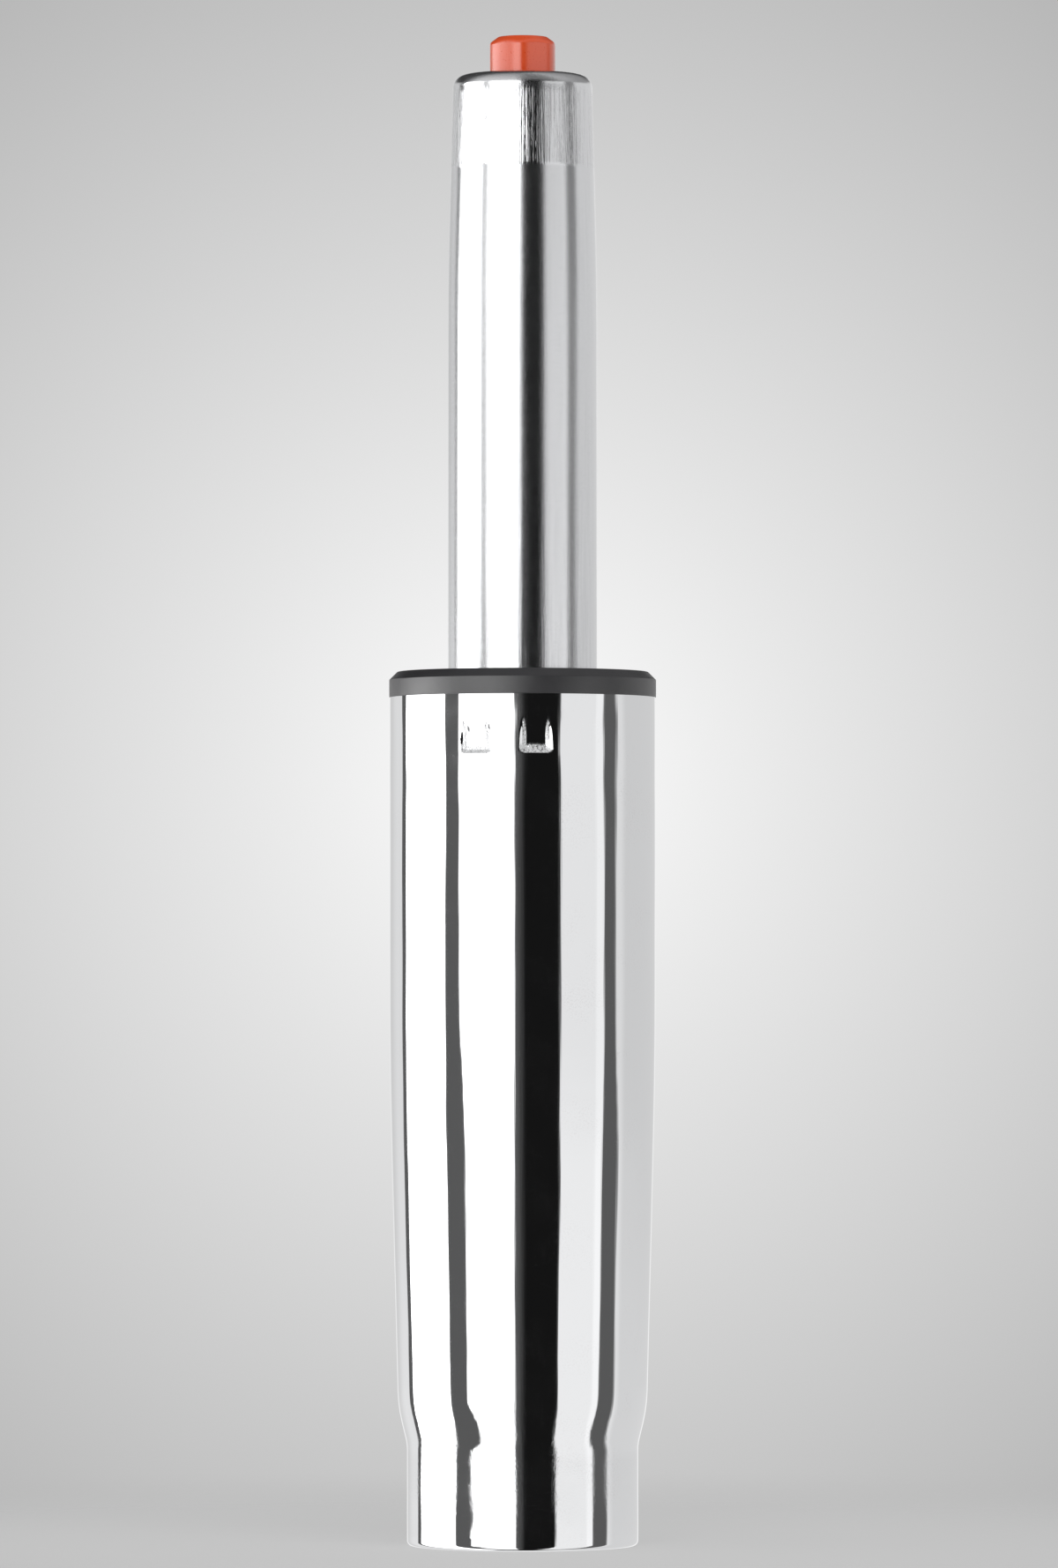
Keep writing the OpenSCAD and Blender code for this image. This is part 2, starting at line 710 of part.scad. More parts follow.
// Valve pin with a head under the valve body and a waist that opens the ports when it is pressed down
module valve_pin() color("silver") {
    head_r = pin_r + 1.4;
    head_h = 2.5;
    waist_r = pin_r - 0.6;
    slope_h = 1;
    head_top_z = valve_foot_z - stack_gap;
    waist_foot_z = valve_foot_z + 3;
    waist_top_z = seal_room_z;
    turned([
        [0, head_top_z - head_h], [head_r, head_top_z - head_h, LEAD_IN], [head_r, head_top_z],
        [pin_r, head_top_z], [pin_r, waist_foot_z], [waist_r, waist_foot_z + slope_h],
        [waist_r, waist_top_z - slope_h], [pin_r, waist_top_z], [pin_r, pin_top_z], [0, pin_top_z]
    ]);
}

outer_tube();
guide_bush();
base_cup();
lower_race();
ball_cage();
bearing_balls();
piston_rod();
upper_race();
bumper_dish();
rubber_bumper();
rod_washer();
retaining_clip();
piston();
piston_glide_ring();
piston_o_ring();
piston_washer();
piston_nut();
pressure_tube();
inner_cylinder();
rod_guide();
guide_o_ring();
rod_seal();
cylinder_seat();
valve_body();
body_o_ring();
spigot_o_ring();
pin_seals();
seal_spacer();
valve_cap();
release_button();
valve_pin();
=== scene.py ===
"""Looks of a gas lift for a swivel chair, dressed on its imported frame.

Sizes are in millimetres and are turned into metres where a mesh or a light is made.
"""

from __future__ import annotations

import logging
from dataclasses import dataclass
from enum import Enum
from math import acos, atan2, ceil, cos, degrees, hypot, pi, radians, sin, tan
from typing import Callable, Iterable, Union

import bmesh
import bpy
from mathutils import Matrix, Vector


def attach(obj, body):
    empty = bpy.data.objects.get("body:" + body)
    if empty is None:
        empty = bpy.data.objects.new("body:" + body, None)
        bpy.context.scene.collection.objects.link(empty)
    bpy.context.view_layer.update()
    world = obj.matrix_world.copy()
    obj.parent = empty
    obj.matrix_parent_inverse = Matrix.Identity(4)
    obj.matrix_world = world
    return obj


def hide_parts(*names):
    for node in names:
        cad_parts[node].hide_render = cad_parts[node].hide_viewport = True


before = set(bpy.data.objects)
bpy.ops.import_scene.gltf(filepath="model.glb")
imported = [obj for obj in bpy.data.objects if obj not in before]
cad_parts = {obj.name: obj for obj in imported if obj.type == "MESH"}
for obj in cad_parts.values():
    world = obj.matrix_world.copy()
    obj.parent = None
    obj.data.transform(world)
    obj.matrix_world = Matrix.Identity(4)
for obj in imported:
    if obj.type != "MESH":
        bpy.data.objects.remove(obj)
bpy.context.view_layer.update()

LOG = logging.getLogger("gas_lift")
MM = 0.001
FULL_TURN = 2 * pi
TOWARDS_CAMERA = -90.0
CREASE = radians(32)
WHITE = (1, 1, 1)

Corner = tuple[float, ...]
Point = tuple[float, float]
Colour = tuple[float, float, float]
Limits = tuple[float, ...]


class Slot(Enum):
    """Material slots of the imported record."""

    CHROME = "chrome_plate"
    GROUND = "ground_steel"
    ACETAL = "black_acetal"
    ORANGE = "orange_plastic"
    ZINC = "zinc_steel"
    BEARING = "bearing_steel"
    ROD = "rod_steel"
    SPRING = "spring_steel"
    BUMPER = "bumper_rubber"
    SEAL = "seal_rubber"
    NYLON = "natural_nylon"
    GLIDE = "white_glide"
    DRAWN = "drawn_steel"
    CAST = "cast_alloy"


class Body(Enum):
    """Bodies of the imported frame."""

    BASE = "base_set"
    CAGE = "cage_set"
    ROD = "rod_set"
    COLUMN = "column_set"
    BUTTON = "button_set"


class Wave(Enum):
    """Ways in which a noise pattern lies on a turned piece."""

    EVEN = "even"
    UPRIGHT = "upright"
    ROUND = "round"


@dataclass(frozen=True)
class Pattern:
    """A noise pattern, with the size of its marks in millimetres.

    The detail counts octaves of finer noise and rough is their weight. The stretch
    says how many times longer than wide the marks are.
    """

    size: float
    detail: float = 2.0
    rough: float = 0.6
    wave: Wave = Wave.EVEN
    stretch: float = 1.0


# Node trees


class Value:
    """The output of a node, for use in Python expressions."""

    def __init__(self, nodes: "Nodes", socket: bpy.types.NodeSocket) -> None:
        """Keeps the socket with the tree that it belongs to."""
        self.nodes = nodes
        self.socket = socket

    def __add__(self, other: "Number") -> "Value":
        """Adds."""
        return self.nodes.math("ADD", self, other)

    def __radd__(self, other: float) -> "Value":
        """Adds to a number."""
        return self.nodes.math("ADD", other, self)

    def __sub__(self, other: "Number") -> "Value":
        """Subtracts."""
        return self.nodes.math("SUBTRACT", self, other)

    def __rsub__(self, other: float) -> "Value":
        """Subtracts from a number."""
        return self.nodes.math("SUBTRACT", other, self)

    def __mul__(self, other: "Number") -> "Value":
        """Multiplies."""
        return self.nodes.math("MULTIPLY", self, other)

    def __rmul__(self, other: float) -> "Value":
        """Multiplies a number."""
        return self.nodes.math("MULTIPLY", other, self)

    def __truediv__(self, other: "Number") -> "Value":
        """Divides."""
        return self.nodes.math("DIVIDE", self, other)

    def __rtruediv__(self, other: float) -> "Value":
        """Divides a number."""
        return self.nodes.math("DIVIDE", other, self)

    def __pow__(self, other: "Number") -> "Value":
        """Raises to a power."""
        return self.nodes.math("POWER", self, other)

    def __abs__(self) -> "Value":
        """Takes the size without the sign."""
        return self.nodes.math("ABSOLUTE", self)


Number = Union[Value, float]


class Nodes:
    """A node tree that is being made."""

    def __init__(self, tree: bpy.types.NodeTree) -> None:
        """Starts with an empty tree."""
        self.tree = tree
        tree.nodes.clear()

    def add(self, kind: str, settings: dict | None = None, sockets: dict | None = None) -> bpy.types.Node:
        """Adds one node.

        Args:
            kind: Blender's name of the node type.
            settings: Properties that are set first.
            sockets: Values or links by the name or number of the input.

        Returns:
            The node.
        """
        node = self.tree.nodes.new(kind)
        for name, value in (settings or {}).items():
            setattr(node, name, value)
        for name, value in (sockets or {}).items():
            self.feed(node.inputs[name], value)
        return node

    def get(
        self, kind: str, settings: dict | None = None, sockets: dict | None = None, out: int | str = 0
    ) -> Value:
        """Adds one node and returns one of its outputs.

        Args:
            kind: Blender's name of the node type.
            settings: Properties that are set first.
            sockets: Values or links by the name or number of the input.
            out: Name or number of the output.

        Returns:
            The output, ready for expressions.
        """
        return Value(self, self.add(kind, settings, sockets).outputs[out])

    def feed(self, socket: bpy.types.NodeSocket, value: object) -> None:
        """Links a value to an input, or sets it there.

        Args:
            socket: The input.
            value: A Value, a socket, a number, a colour or a data block.
        """
        if isinstance(value, Value):
            self.tree.links.new(value.socket, socket)
        elif isinstance(value, bpy.types.NodeSocket):
            self.tree.links.new(value, socket)
        elif isinstance(value, tuple) and socket.type == "RGBA":
            socket.default_value = (*value[:3], 1.0)
        else:
            socket.default_value = value

    def math(self, operation: str, *values: Number) -> Value:
        """Adds a Math node.

        Args:
            operation: The node's operation.
            values: Its inputs in order.

        Returns:
            The result.
        """
        return self.get("ShaderNodeMath", {"operation": operation}, dict(enumerate(values)))

    def capped(self, value: Number, low: Number, high: Number) -> Value:
        """Keeps a value between two limits."""
        return self.math("MINIMUM", self.math("MAXIMUM", value, low), high)

    def length(self, x: Value, y: Value) -> Value:
        """Gives the distance from the axis."""
        return self.math("SQRT", x * x + y * y)

    def smooth(self, value: Number, low: Number, high: Number) -> Value:
        """Rises softly from 0 to 1 between two limits.

        Args:
            value: What is compared with the limits.
            low: Where the rise starts.
            high: Where it ends.

        Returns:
            The share from 0 to 1.
        """
        return self.get(
            "ShaderNodeMapRange",
            {"interpolation_type": "SMOOTHSTEP"},
            {"Value": value, "From Min": low, "From Max": high},
        )

    def window(self, value: Number, low: Number, high: Number, edge: float, far_edge: float = 0.0) -> Value:
        """Is 1 between two limits and falls softly to 0 outside them.

        Args:
            value: What is compared with the limits.
            low: Lower limit.
            high: Upper limit.
            edge: Width of the soft edge at the lower limit.
            far_edge: Width of the soft edge at the upper limit; the same where it is 0.

        Returns:
            The share from 0 to 1.
        """
        near, far = edge / 2, (far_edge or edge) / 2
        return self.smooth(value, low - near, low + near) - self.smooth(value, high - far, high + far)

    def mix(self, share: Number, first: object, second: object) -> Value:
        """Mixes two colours.

        Args:
            share: Share of the second colour.
            first: First colour.
            second: Second colour.

        Returns:
            The colour.
        """
        return self.get("ShaderNodeMix", {"data_type": "RGBA"}, {0: share, 6: first, 7: second}, out=2)

    def parts(self, vector: Value) -> tuple[Value, Value, Value]:
        """Splits a vector.

        Args:
            vector: The vector.

        Returns:
            Its three parts.
        """
        node = self.add("ShaderNodeSeparateXYZ", sockets={0: vector})
        return Value(self, node.outputs[0]), Value(self, node.outputs[1]), Value(self, node.outputs[2])

    def join(self, x: Number, y: Number, z: Number) -> Value:
        """Makes a vector.

        Args:
            x: First part.
            y: Second part.
            z: Third part.

        Returns:
            The vector.
        """
        return self.get("ShaderNodeCombineXYZ", sockets={0: x, 1: y, 2: z})

    def noise(self, vector: Value, pattern: Pattern) -> Value:
        """Adds a noise pattern.

        Args:
            vector: Place, in millimetres.
            pattern: The pattern.

        Returns:
            Noise from 0 to 1.
        """
        sockets = {"Vector": vector, "Scale": 1 / pattern.size}
        sockets |= {"Detail": pattern.detail, "Roughness": pattern.rough}
        return self.get("ShaderNodeTexNoise", {"noise_dimensions": "3D"}, sockets)


class SurfaceNodes(Nodes):
    """The node tree of a material, with the place on the piece in millimetres."""

    def __init__(self, tree: bpy.types.NodeTree) -> None:
        """Reads the place once for the whole material."""
        super().__init__(tree)
        place = self.get("ShaderNodeTexCoord", out="Object")
        self.place = self.get("ShaderNodeMapping", sockets={"Vector": place, "Scale": Vector((1, 1, 1)) / MM})
        self.x, self.y, self.z = self.parts(self.place)

    def marks(self, pattern: Pattern) -> Value:
        """Lays a pattern evenly, in upright streaks or in rings.

        Args:
            pattern: The pattern.

        Returns:
            Noise from 0 to 1.
        """
        place = self.place
        if pattern.wave is Wave.UPRIGHT:
            place = self.join(self.x, self.y, self.z / pattern.stretch)
        if pattern.wave is Wave.ROUND:
            turn = self.math("ARCTAN2", self.y, self.x)
            place = self.join(self.length(self.x, self.y), turn / pattern.stretch, self.z)
        return self.noise(place, pattern)

    def bump(self, height: Value, depth: float, normal: Value | None = None) -> Value:
        """Turns a height pattern into a normal.

        Args:
            height: Pattern from 0 to 1.
            depth: What 1 stands for, in millimetres.
            normal: Normal that it is added to.

        Returns:
            The normal.
        """
        sockets = {"Strength": 1.0, "Distance": depth * MM, "Height": height}
        if normal is not None:
            sockets["Normal"] = normal
        return self.get("ShaderNodeBump", sockets=sockets)


# Finishes


@dataclass(frozen=True)
class Finish:
    """A finish that becomes one material."""

    slot: Slot

    def surface(self, nodes: SurfaceNodes) -> dict:
        """Says what feeds the main shader.

        Args:
            nodes: The material's tree.

        Returns:
            Values or links by the shader's input names.
        """
        raise NotImplementedError

    def build(self) -> bpy.types.Material:
        """Makes the material.

        Returns:
            The material.
        """
        material = bpy.data.materials.new(self.slot.value)
        material.use_nodes = True
        nodes = SurfaceNodes(material.node_tree)
        shader = nodes.get("ShaderNodeBsdfPrincipled", sockets=self.surface(nodes))
        nodes.add("ShaderNodeOutputMaterial", sockets={"Surface": shader})
        return material


@dataclass(frozen=True)
class ChromePlate(Finish):
    """Mirror plating with faint polishing lines, a hazy neck, and scuffs where the dents were pressed."""

    tint: Colour = (0.85, 0.855, 0.865)
    haze_tint: Colour = (0.80, 0.80, 0.81)
    gloss: float = 0.035
    haze: float = 0.05
    haze_matt: float = 0.018
    neck_haze: float = 0.012
    neck_foot: float = 7.0
    neck_top: float = 21.0
    neck_edge: float = 8.0
    neck_depth: float = 0.010
    cloud: Pattern = Pattern(9.0, detail=3.0)
    hazy_cloud: Limits = (0.42, 0.75)
    neck_cloud: Limits = (0.3, 0.6)
    speck: Pattern = Pattern(0.3)
    hazy_speck: Limits = (0.45, 0.75)
    line: Pattern = Pattern(0.8, rough=0.5, wave=Wave.UPRIGHT, stretch=50.0)
    line_depth: float = 0.006
    scratch: Pattern = Pattern(0.28, wave=Wave.UPRIGHT, stretch=1.5)
    scuff: Pattern = Pattern(0.42, detail=3.0, rough=0.7)
    scuff_limits: Limits = (0.36, 0.56)
    scuffed: float = 0.40
    scuff_depth: float = 0.085
    scuff_matt: float = 0.75

    def surface(self, nodes: SurfaceNodes) -> dict:
        """Says what feeds the main shader.

        Args:
            nodes: The material's tree.

        Returns:
            Values or links by the shader's input names.
        """
        clouds = nodes.marks(self.cloud)
        specks = nodes.marks(self.speck)
        haze = nodes.smooth(clouds, *self.hazy_cloud) * nodes.smooth(specks, *self.hazy_speck)
        neck = nodes.window(nodes.z, self.neck_foot, self.neck_top, self.neck_edge)
        neck = neck * nodes.smooth(clouds, *self.neck_cloud)
        marked = nodes.get("ShaderNodeAttribute", {"attribute_name": BaseTube.SCUFF}, out="Fac")
        scuff = marked * nodes.smooth(nodes.marks(self.scuff), *self.scuff_limits)
        scratches = nodes.marks(self.scratch) * marked
        normal = nodes.bump(nodes.marks(self.line), self.line_depth)
        normal = nodes.bump(specks * neck, self.neck_depth, normal)
        return {
            "Base Color": nodes.mix(haze, self.tint, self.haze_tint),
            "Metallic": 1.0 - scuff * self.scuff_matt - haze * self.haze_matt,
            "Roughness": self.gloss + haze * self.haze + neck * self.neck_haze + scuff * self.scuffed,
            "Normal": nodes.bump(scratches, self.scuff_depth, normal),
        }


@dataclass(frozen=True)
class GroundSteel(Finish):
    """Polished steel tube whose seat cone keeps upright grinding streaks."""

    tint: Colour = (0.78, 0.785, 0.80)
    dull_tint: Colour = (0.66, 0.665, 0.68)
    gloss: float = 0.165
    cone_gloss: float = 0.19
    streak_gloss: float = 0.22
    fillet_gloss: float = 0.19
    streak_foot: float = 258.8
    streak_top: float = 273.2
    streak_edge: float = 0.9
    streak_depth: float = 0.07
    wipe_foot: float = 165.0
    wipe_top: float = 205.0
    wipe_depth: float = 0.026
    fillet_foot: float = 273.8
    fillet_top: float = 275.0
    streak: Pattern = Pattern(0.42, 3.0, 0.65, Wave.UPRIGHT, 90.0)
    streak_limits: Limits = (0.42, 0.62)
    wipe: Pattern = Pattern(0.9, 3.0, 0.6, Wave.UPRIGHT, 25.0)
    wipe_limits: Limits = (0.45, 0.8)
    wipe_least: float = 0.25
    wipe_rough: float = 0.06
    wiped_rough: float = 0.10
    ring: Pattern = Pattern(0.22, 2.0, 0.5, Wave.ROUND, 0.4)
    ring_limits: Limits = (0.5, 0.75)
    speckle: Pattern = Pattern(0.3)
    speckle_depth: float = 0.035
    grain: Pattern = Pattern(0.2)
    grain_depth: float = 0.012
    wipe_dull: float = 0.2
    wiped_dull: float = 0.4
    ring_dull: float = 0.18

    def surface(self, nodes: SurfaceNodes) -> dict:
        """Says what feeds the main shader.

        Args:
            nodes: The material's tree.

        Returns:
            Values or links by the shader's input names.
        """
        edge = self.streak_edge
        cone = nodes.window(nodes.z, self.streak_foot, self.streak_top, edge, 2 * edge)
        fillet = nodes.smooth(nodes.z, self.fillet_foot, self.fillet_top)
        wiped = nodes.smooth(nodes.z, self.wipe_top, self.wipe_foot)
        streaks = nodes.marks(self.streak)
        wipe = nodes.marks(self.wipe)
        rough = self.gloss + (wipe - 0.5) * (self.wipe_rough + wiped * self.wiped_rough)
        evened = self.cone_gloss - self.gloss - self.streak_gloss / 2
        dull = nodes.smooth(streaks, *self.streak_limits) * self.streak_gloss + evened
        rough = rough + cone * dull + fillet * (self.fillet_gloss - self.gloss)
        normal = nodes.bump(streaks * cone, self.streak_depth)
        wiping = self.wipe_least + wiped * (1 - self.wipe_least)
        normal = nodes.bump(wipe * wiping, self.wipe_depth, normal)
        normal = nodes.bump(nodes.marks(self.grain), self.grain_depth, normal)
        normal = nodes.bump(nodes.marks(self.speckle) * fillet, self.speckle_depth, normal)
        worn = nodes.smooth(wipe, *self.wipe_limits) * (self.wipe_dull + wiped * self.wiped_dull)
        worn = worn + nodes.smooth(nodes.marks(self.ring), *self.ring_limits) * self.ring_dull
        return {
            "Base Color": nodes.mix(worn, self.tint, self.dull_tint),
            "Metallic": 1.0,
            "Roughness": rough,
            "Normal": normal,
        }


@dataclass(frozen=True)
class MouldedPlastic(Finish):
    """Plastic from a mould, with a fine grain and slight cloudiness."""

    tint: Colour
    worn_tint: Colour
    rough: float
    grain: Pattern = Pattern(0.18, detail=3.0)
    grain_limits: Limits = (0.4, 0.7)
    grain_depth: float = 0.012
    sheen: float = 0.5
    bend: float = 1.5
    cloud: Pattern = Pattern(4.0, detail=3.0, rough=0.55)
    cloud_limits: Limits = (0.35, 0.75)
    unevenness: float = 0.16

    def surface(self, nodes: SurfaceNodes) -> dict:
        """Says what feeds the main shader.

        Args:
            nodes: The material's tree.

        Returns:
            Values or links by the shader's input names.
        """
        grain = nodes.marks(self.grain)
        clouds = nodes.smooth(nodes.marks(self.cloud), *self.cloud_limits)
        worn = clouds * 0.5 + nodes.smooth(grain, *self.grain_limits) * 0.5
        return {
            "Base Color": nodes.mix(worn, self.tint, self.worn_tint),
            "Roughness": self.rough + (grain - 0.5) * self.unevenness,
            "Specular IOR Level": self.sheen,
            "IOR": self.bend,
            "Normal": nodes.bump(grain, self.grain_depth),
        }


@dataclass(frozen=True)
class TurnedMetal(Finish):
    """Metal with tool marks and a slightly uneven sheen."""

    tint: Colour
    dull_tint: Colour
    rough: float
    mark: Pattern = Pattern(0.18, wave=Wave.ROUND)
    mark_depth: float = 0.003
    cloud: Pattern = Pattern(3.0, detail=4.0)
    dull_limits: Limits = (0.35, 0.75)
    unevenness: float = 0.18

    def surface(self, nodes: SurfaceNodes) -> dict:
        """Says what feeds the main shader.

        Args:
            nodes: The material's tree.

        Returns:
            Values or links by the shader's input names.
        """
        clouds = nodes.marks(self.cloud)
        return {
            "Base Color": nodes.mix(nodes.smooth(clouds, *self.dull_limits), self.tint, self.dull_tint),
            "Metallic": 1.0,
            "Roughness": self.rough + (clouds - 0.5) * self.unevenness,
            "Normal": nodes.bump(nodes.marks(self.mark), self.mark_depth),
        }


@dataclass(frozen=True)
class Rubber(Finish):
    """Black rubber with a dusty bloom."""

    tint: Colour = (0.028, 0.028, 0.030)
    bloom: Colour = (0.062, 0.062, 0.064)
    rough: float = 0.62
    dust: Pattern = Pattern(1.1, detail=4.0, rough=0.65)
    dust_limits: Limits = (0.4, 0.85)
    dust_depth: float = 0.01
    unevenness: float = 0.2

    def surface(self, nodes: SurfaceNodes) -> dict:
        """Says what feeds the main shader.

        Args:
            nodes: The material's tree.

        Returns:
            Values or links by the shader's input names.
        """
        dust = nodes.marks(self.dust)
        return {
            "Base Color": nodes.mix(nodes.smooth(dust, *self.dust_limits), self.tint, self.bloom),
            "Roughness": self.rough + (dust - 0.5) * self.unevenness,
            "Normal": nodes.bump(dust, self.dust_depth),
        }


FINISHES: tuple[Finish, ...] = (
    ChromePlate(Slot.CHROME),
    GroundSteel(Slot.GROUND),
    MouldedPlastic(
        Slot.ACETAL, tint=(0.010, 0.010, 0.012), worn_tint=(0.021, 0.020, 0.023), rough=0.40,
        grain=Pattern(0.16, detail=3.0), grain_depth=0.030, sheen=1.0, bend=1.55,
    ),
    MouldedPlastic(
        Slot.ORANGE, tint=(0.80, 0.080, 0.012), worn_tint=(0.84, 0.098, 0.020), rough=0.30,
        grain=Pattern(0.30, detail=3.0), grain_depth=0.006, sheen=1.0, bend=1.63,
    ),
    TurnedMetal(
        Slot.ZINC, tint=(0.62, 0.63, 0.66), dull_tint=(0.50, 0.51, 0.53), rough=0.34,
        mark=Pattern(0.5), mark_depth=0.004,
    ),
    TurnedMetal(Slot.BEARING, tint=(0.70, 0.71, 0.73), dull_tint=(0.62, 0.63, 0.66), rough=0.18),
    TurnedMetal(Slot.ROD, tint=(0.78, 0.79, 0.80), dull_tint=(0.72, 0.73, 0.75), rough=0.12),
    TurnedMetal(
        Slot.SPRING, tint=(0.16, 0.165, 0.18), dull_tint=(0.10, 0.105, 0.115), rough=0.36,
        mark=Pattern(0.4), mark_depth=0.004,
    ),
    Rubber(Slot.BUMPER),
    Rubber(Slot.SEAL, tint=(0.022, 0.022, 0.024), bloom=(0.040, 0.040, 0.042), rough=0.42),
    MouldedPlastic(Slot.NYLON, tint=(0.78, 0.74, 0.64), worn_tint=(0.72, 0.68, 0.57), rough=0.42),
    MouldedPlastic(Slot.GLIDE, tint=(0.86, 0.86, 0.84), worn_tint=(0.80, 0.80, 0.78), rough=0.35),
    TurnedMetal(
        Slot.DRAWN, tint=(0.55, 0.56, 0.58), dull_tint=(0.44, 0.45, 0.47), rough=0.30,
        mark=Pattern(0.18, wave=Wave.UPRIGHT, stretch=20.0),
    ),
    TurnedMetal(Slot.CAST, tint=(0.66, 0.66, 0.65), dull_tint=(0.56, 0.56, 0.56), rough=0.33),
)
MATERIALS: dict[Slot, bpy.types.Material] = {}


# Outlines and meshes


def corner_arc(
    before: Corner, corner: Corner, after: Corner, turn_step: float, run_step: float
) -> list[Point]:
    """Rounds one corner of an outline.

    Args:
        before: Corner before it.
        corner: The corner, with its radius as a third number where it has one.
        after: Corner after it.
        turn_step: Largest turn between two points, in radians.
        run_step: Largest run between two points.

    Returns:
        The points that stand for the corner.
    """
    here = Vector(corner[:2])
    if len(corner) < 3:
        return [(here.x, here.y)]
    radius = corner[2]
    back = (Vector(before[:2]) - here).normalized()
    ahead = (Vector(after[:2]) - here).normalized()
    half = acos(max(-1.0, min(1.0, back.dot(ahead)))) / 2
    centre = here + (back + ahead).normalized() * radius / sin(half)
    first = here + back * radius / tan(half) - centre
    last = here + ahead * radius / tan(half) - centre
    start = atan2(first.y, first.x)
    swing = (atan2(last.y, last.x) - start + pi) % FULL_TURN - pi
    steps = max(3, ceil(abs(swing) / turn_step), ceil(abs(swing) * radius / run_step))
    turns = [start + swing * i / steps for i in range(steps + 1)]
    return [(centre.x + radius * cos(turn), centre.y + radius * sin(turn)) for turn in turns]


def outline(corners: list[Corner], turn_step: float = radians(9), run_step: float = 4.0) -> list[Point]:
    """Rounds the corners of a closed outline of radius and height.

    Args:
        corners: Corners in order, each with a radius as a third number where it is rounded.
        turn_step: Largest turn between two points of an arc.
        run_step: Largest run between two points of an arc.

    Returns:
        The points.
    """
    count = len(corners)
    points: list[Point] = []
    for i, corner in enumerate(corners):
        points += corner_arc(corners[i - 1], corner, corners[(i + 1) % count], turn_step, run_step)
    return points


def refined(points: list[Point], step_at: Callable[[Point, Point], float]) -> list[Point]:
    """Puts more points on the straight runs of a closed outline.

    Args:
        points: The outline.
        step_at: Gives the largest step on the run between two points.

    Returns:
        The finer outline.
    """
    finer: list[Point] = []
    for i, first in enumerate(points):
        last = points[(i + 1) % len(points)]
        run = hypot(last[0] - first[0], last[1] - first[1])
        steps = max(1, ceil(run / step_at(first, last)))
        finer += [
            (first[0] + (last[0] - first[0]) * j / steps, first[1] + (last[1] - first[1]) * j / steps)
            for j in range(steps)
        ]
    return finer


def even_turns(count: int) -> list[float]:
    """Gives equal steps round the axis."""
    return [FULL_TURN * i / count for i in range(count)]


def ring_mesh(name: str, rows: list[list[Vector]], closed: bool) -> bpy.types.Mesh:
    """Makes a mesh from rings of points that all have the same number of points.

    Args:
        name: Name of the mesh.
        rows: The rings, counted outwards and upwards; a ring of one point is a pole.
        closed: True where the last ring joins the first.

    Returns:
        The mesh, in metres, with its normals facing outwards.
    """
    vertices: list[Vector] = []
    starts: list[int] = []
    for row in rows:
        starts.append(len(vertices))
        vertices += [point * MM for point in row]
    faces: list[tuple[int, ...]] = []
    pairs = list(range(len(rows))) if closed else list(range(len(rows) - 1))
    for i in pairs:
        low, high = i, (i + 1) % len(rows)
        a, b = starts[low], starts[high]
        count = max(len(rows[low]), len(rows[high]))
        for j in range(count):
            k = (j + 1) % count
            if len(rows[low]) == 1:
                faces.append((a, b + k, b + j))
            elif len(rows[high]) == 1:
                faces.append((a + j, a + k, b))
            else:
                faces.append((a + j, a + k, b + k, b + j))
    mesh = bpy.data.meshes.new(name)
    mesh.from_pydata(vertices, [], faces)
    shape = bmesh.new()
    shape.from_mesh(mesh)
    bmesh.ops.recalc_face_normals(shape, faces=shape.faces)
    shape.to_mesh(mesh)
    shape.free()
    return mesh


def turned_rows(points: list[Point], turns: list[float]) -> list[list[Vector]]:
    """Turns an outline round the axis.

    Args:
        points: Points of radius and height.
        turns: Angles of the copies.

    Returns:
        One ring for each point.
    """
    rows = []
    for radius, height in points:
        if radius == 0:
            rows.append([Vector((0, 0, height))])
        else:
            rows.append([Vector((radius * cos(turn), radius * sin(turn), height)) for turn in turns])
    return rows


def new_object(mesh: bpy.types.Mesh, crease: float = CREASE) -> bpy.types.Object:
    """Puts a mesh into the scene with smooth faces and crisp creases.

    Args:
        mesh: The mesh.
        crease: Turn between two faces from which their edge stays crisp.

    Returns:
        The object.
    """
    mesh.shade_smooth()
    mesh.set_sharp_from_angle(angle=crease)
    thing = bpy.data.objects.new(mesh.name, mesh)
    bpy.context.scene.collection.objects.link(thing)
    return thing


def add_piece(thing: bpy.types.Object, body: Body, slot: Slot, *nodes: str) -> bpy.types.Object:
    """Dresses a finished object and hands it to the frame.

    Args:
        thing: The object.
        body: Body that it moves with.
        slot: Its finish.
        nodes: Names of the solids that it stands for.

    Returns:
        The object.
    """
    thing.data.materials.clear()
    thing.data.materials.append(MATERIALS[slot])
    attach(thing, body.value)
    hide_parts(*nodes)
    LOG.info("%s: %d faces, on %s", thing.name, len(thing.data.polygons), body.value)
    return thing


def dress(slot: Slot, *names: str) -> None:
    """Gives solids of the frame their finish.

    Args:
        slot: The finish.
        names: Names of the solids.
    """
    for name in names:
        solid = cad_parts[name]
        if not solid.material_slots:
            solid.data.materials.append(MATERIALS[slot])
        for place in solid.material_slots:
            place.material = MATERIALS[slot]
        LOG.info("%s: solid in %s", name, slot.value)


# Geometry rules


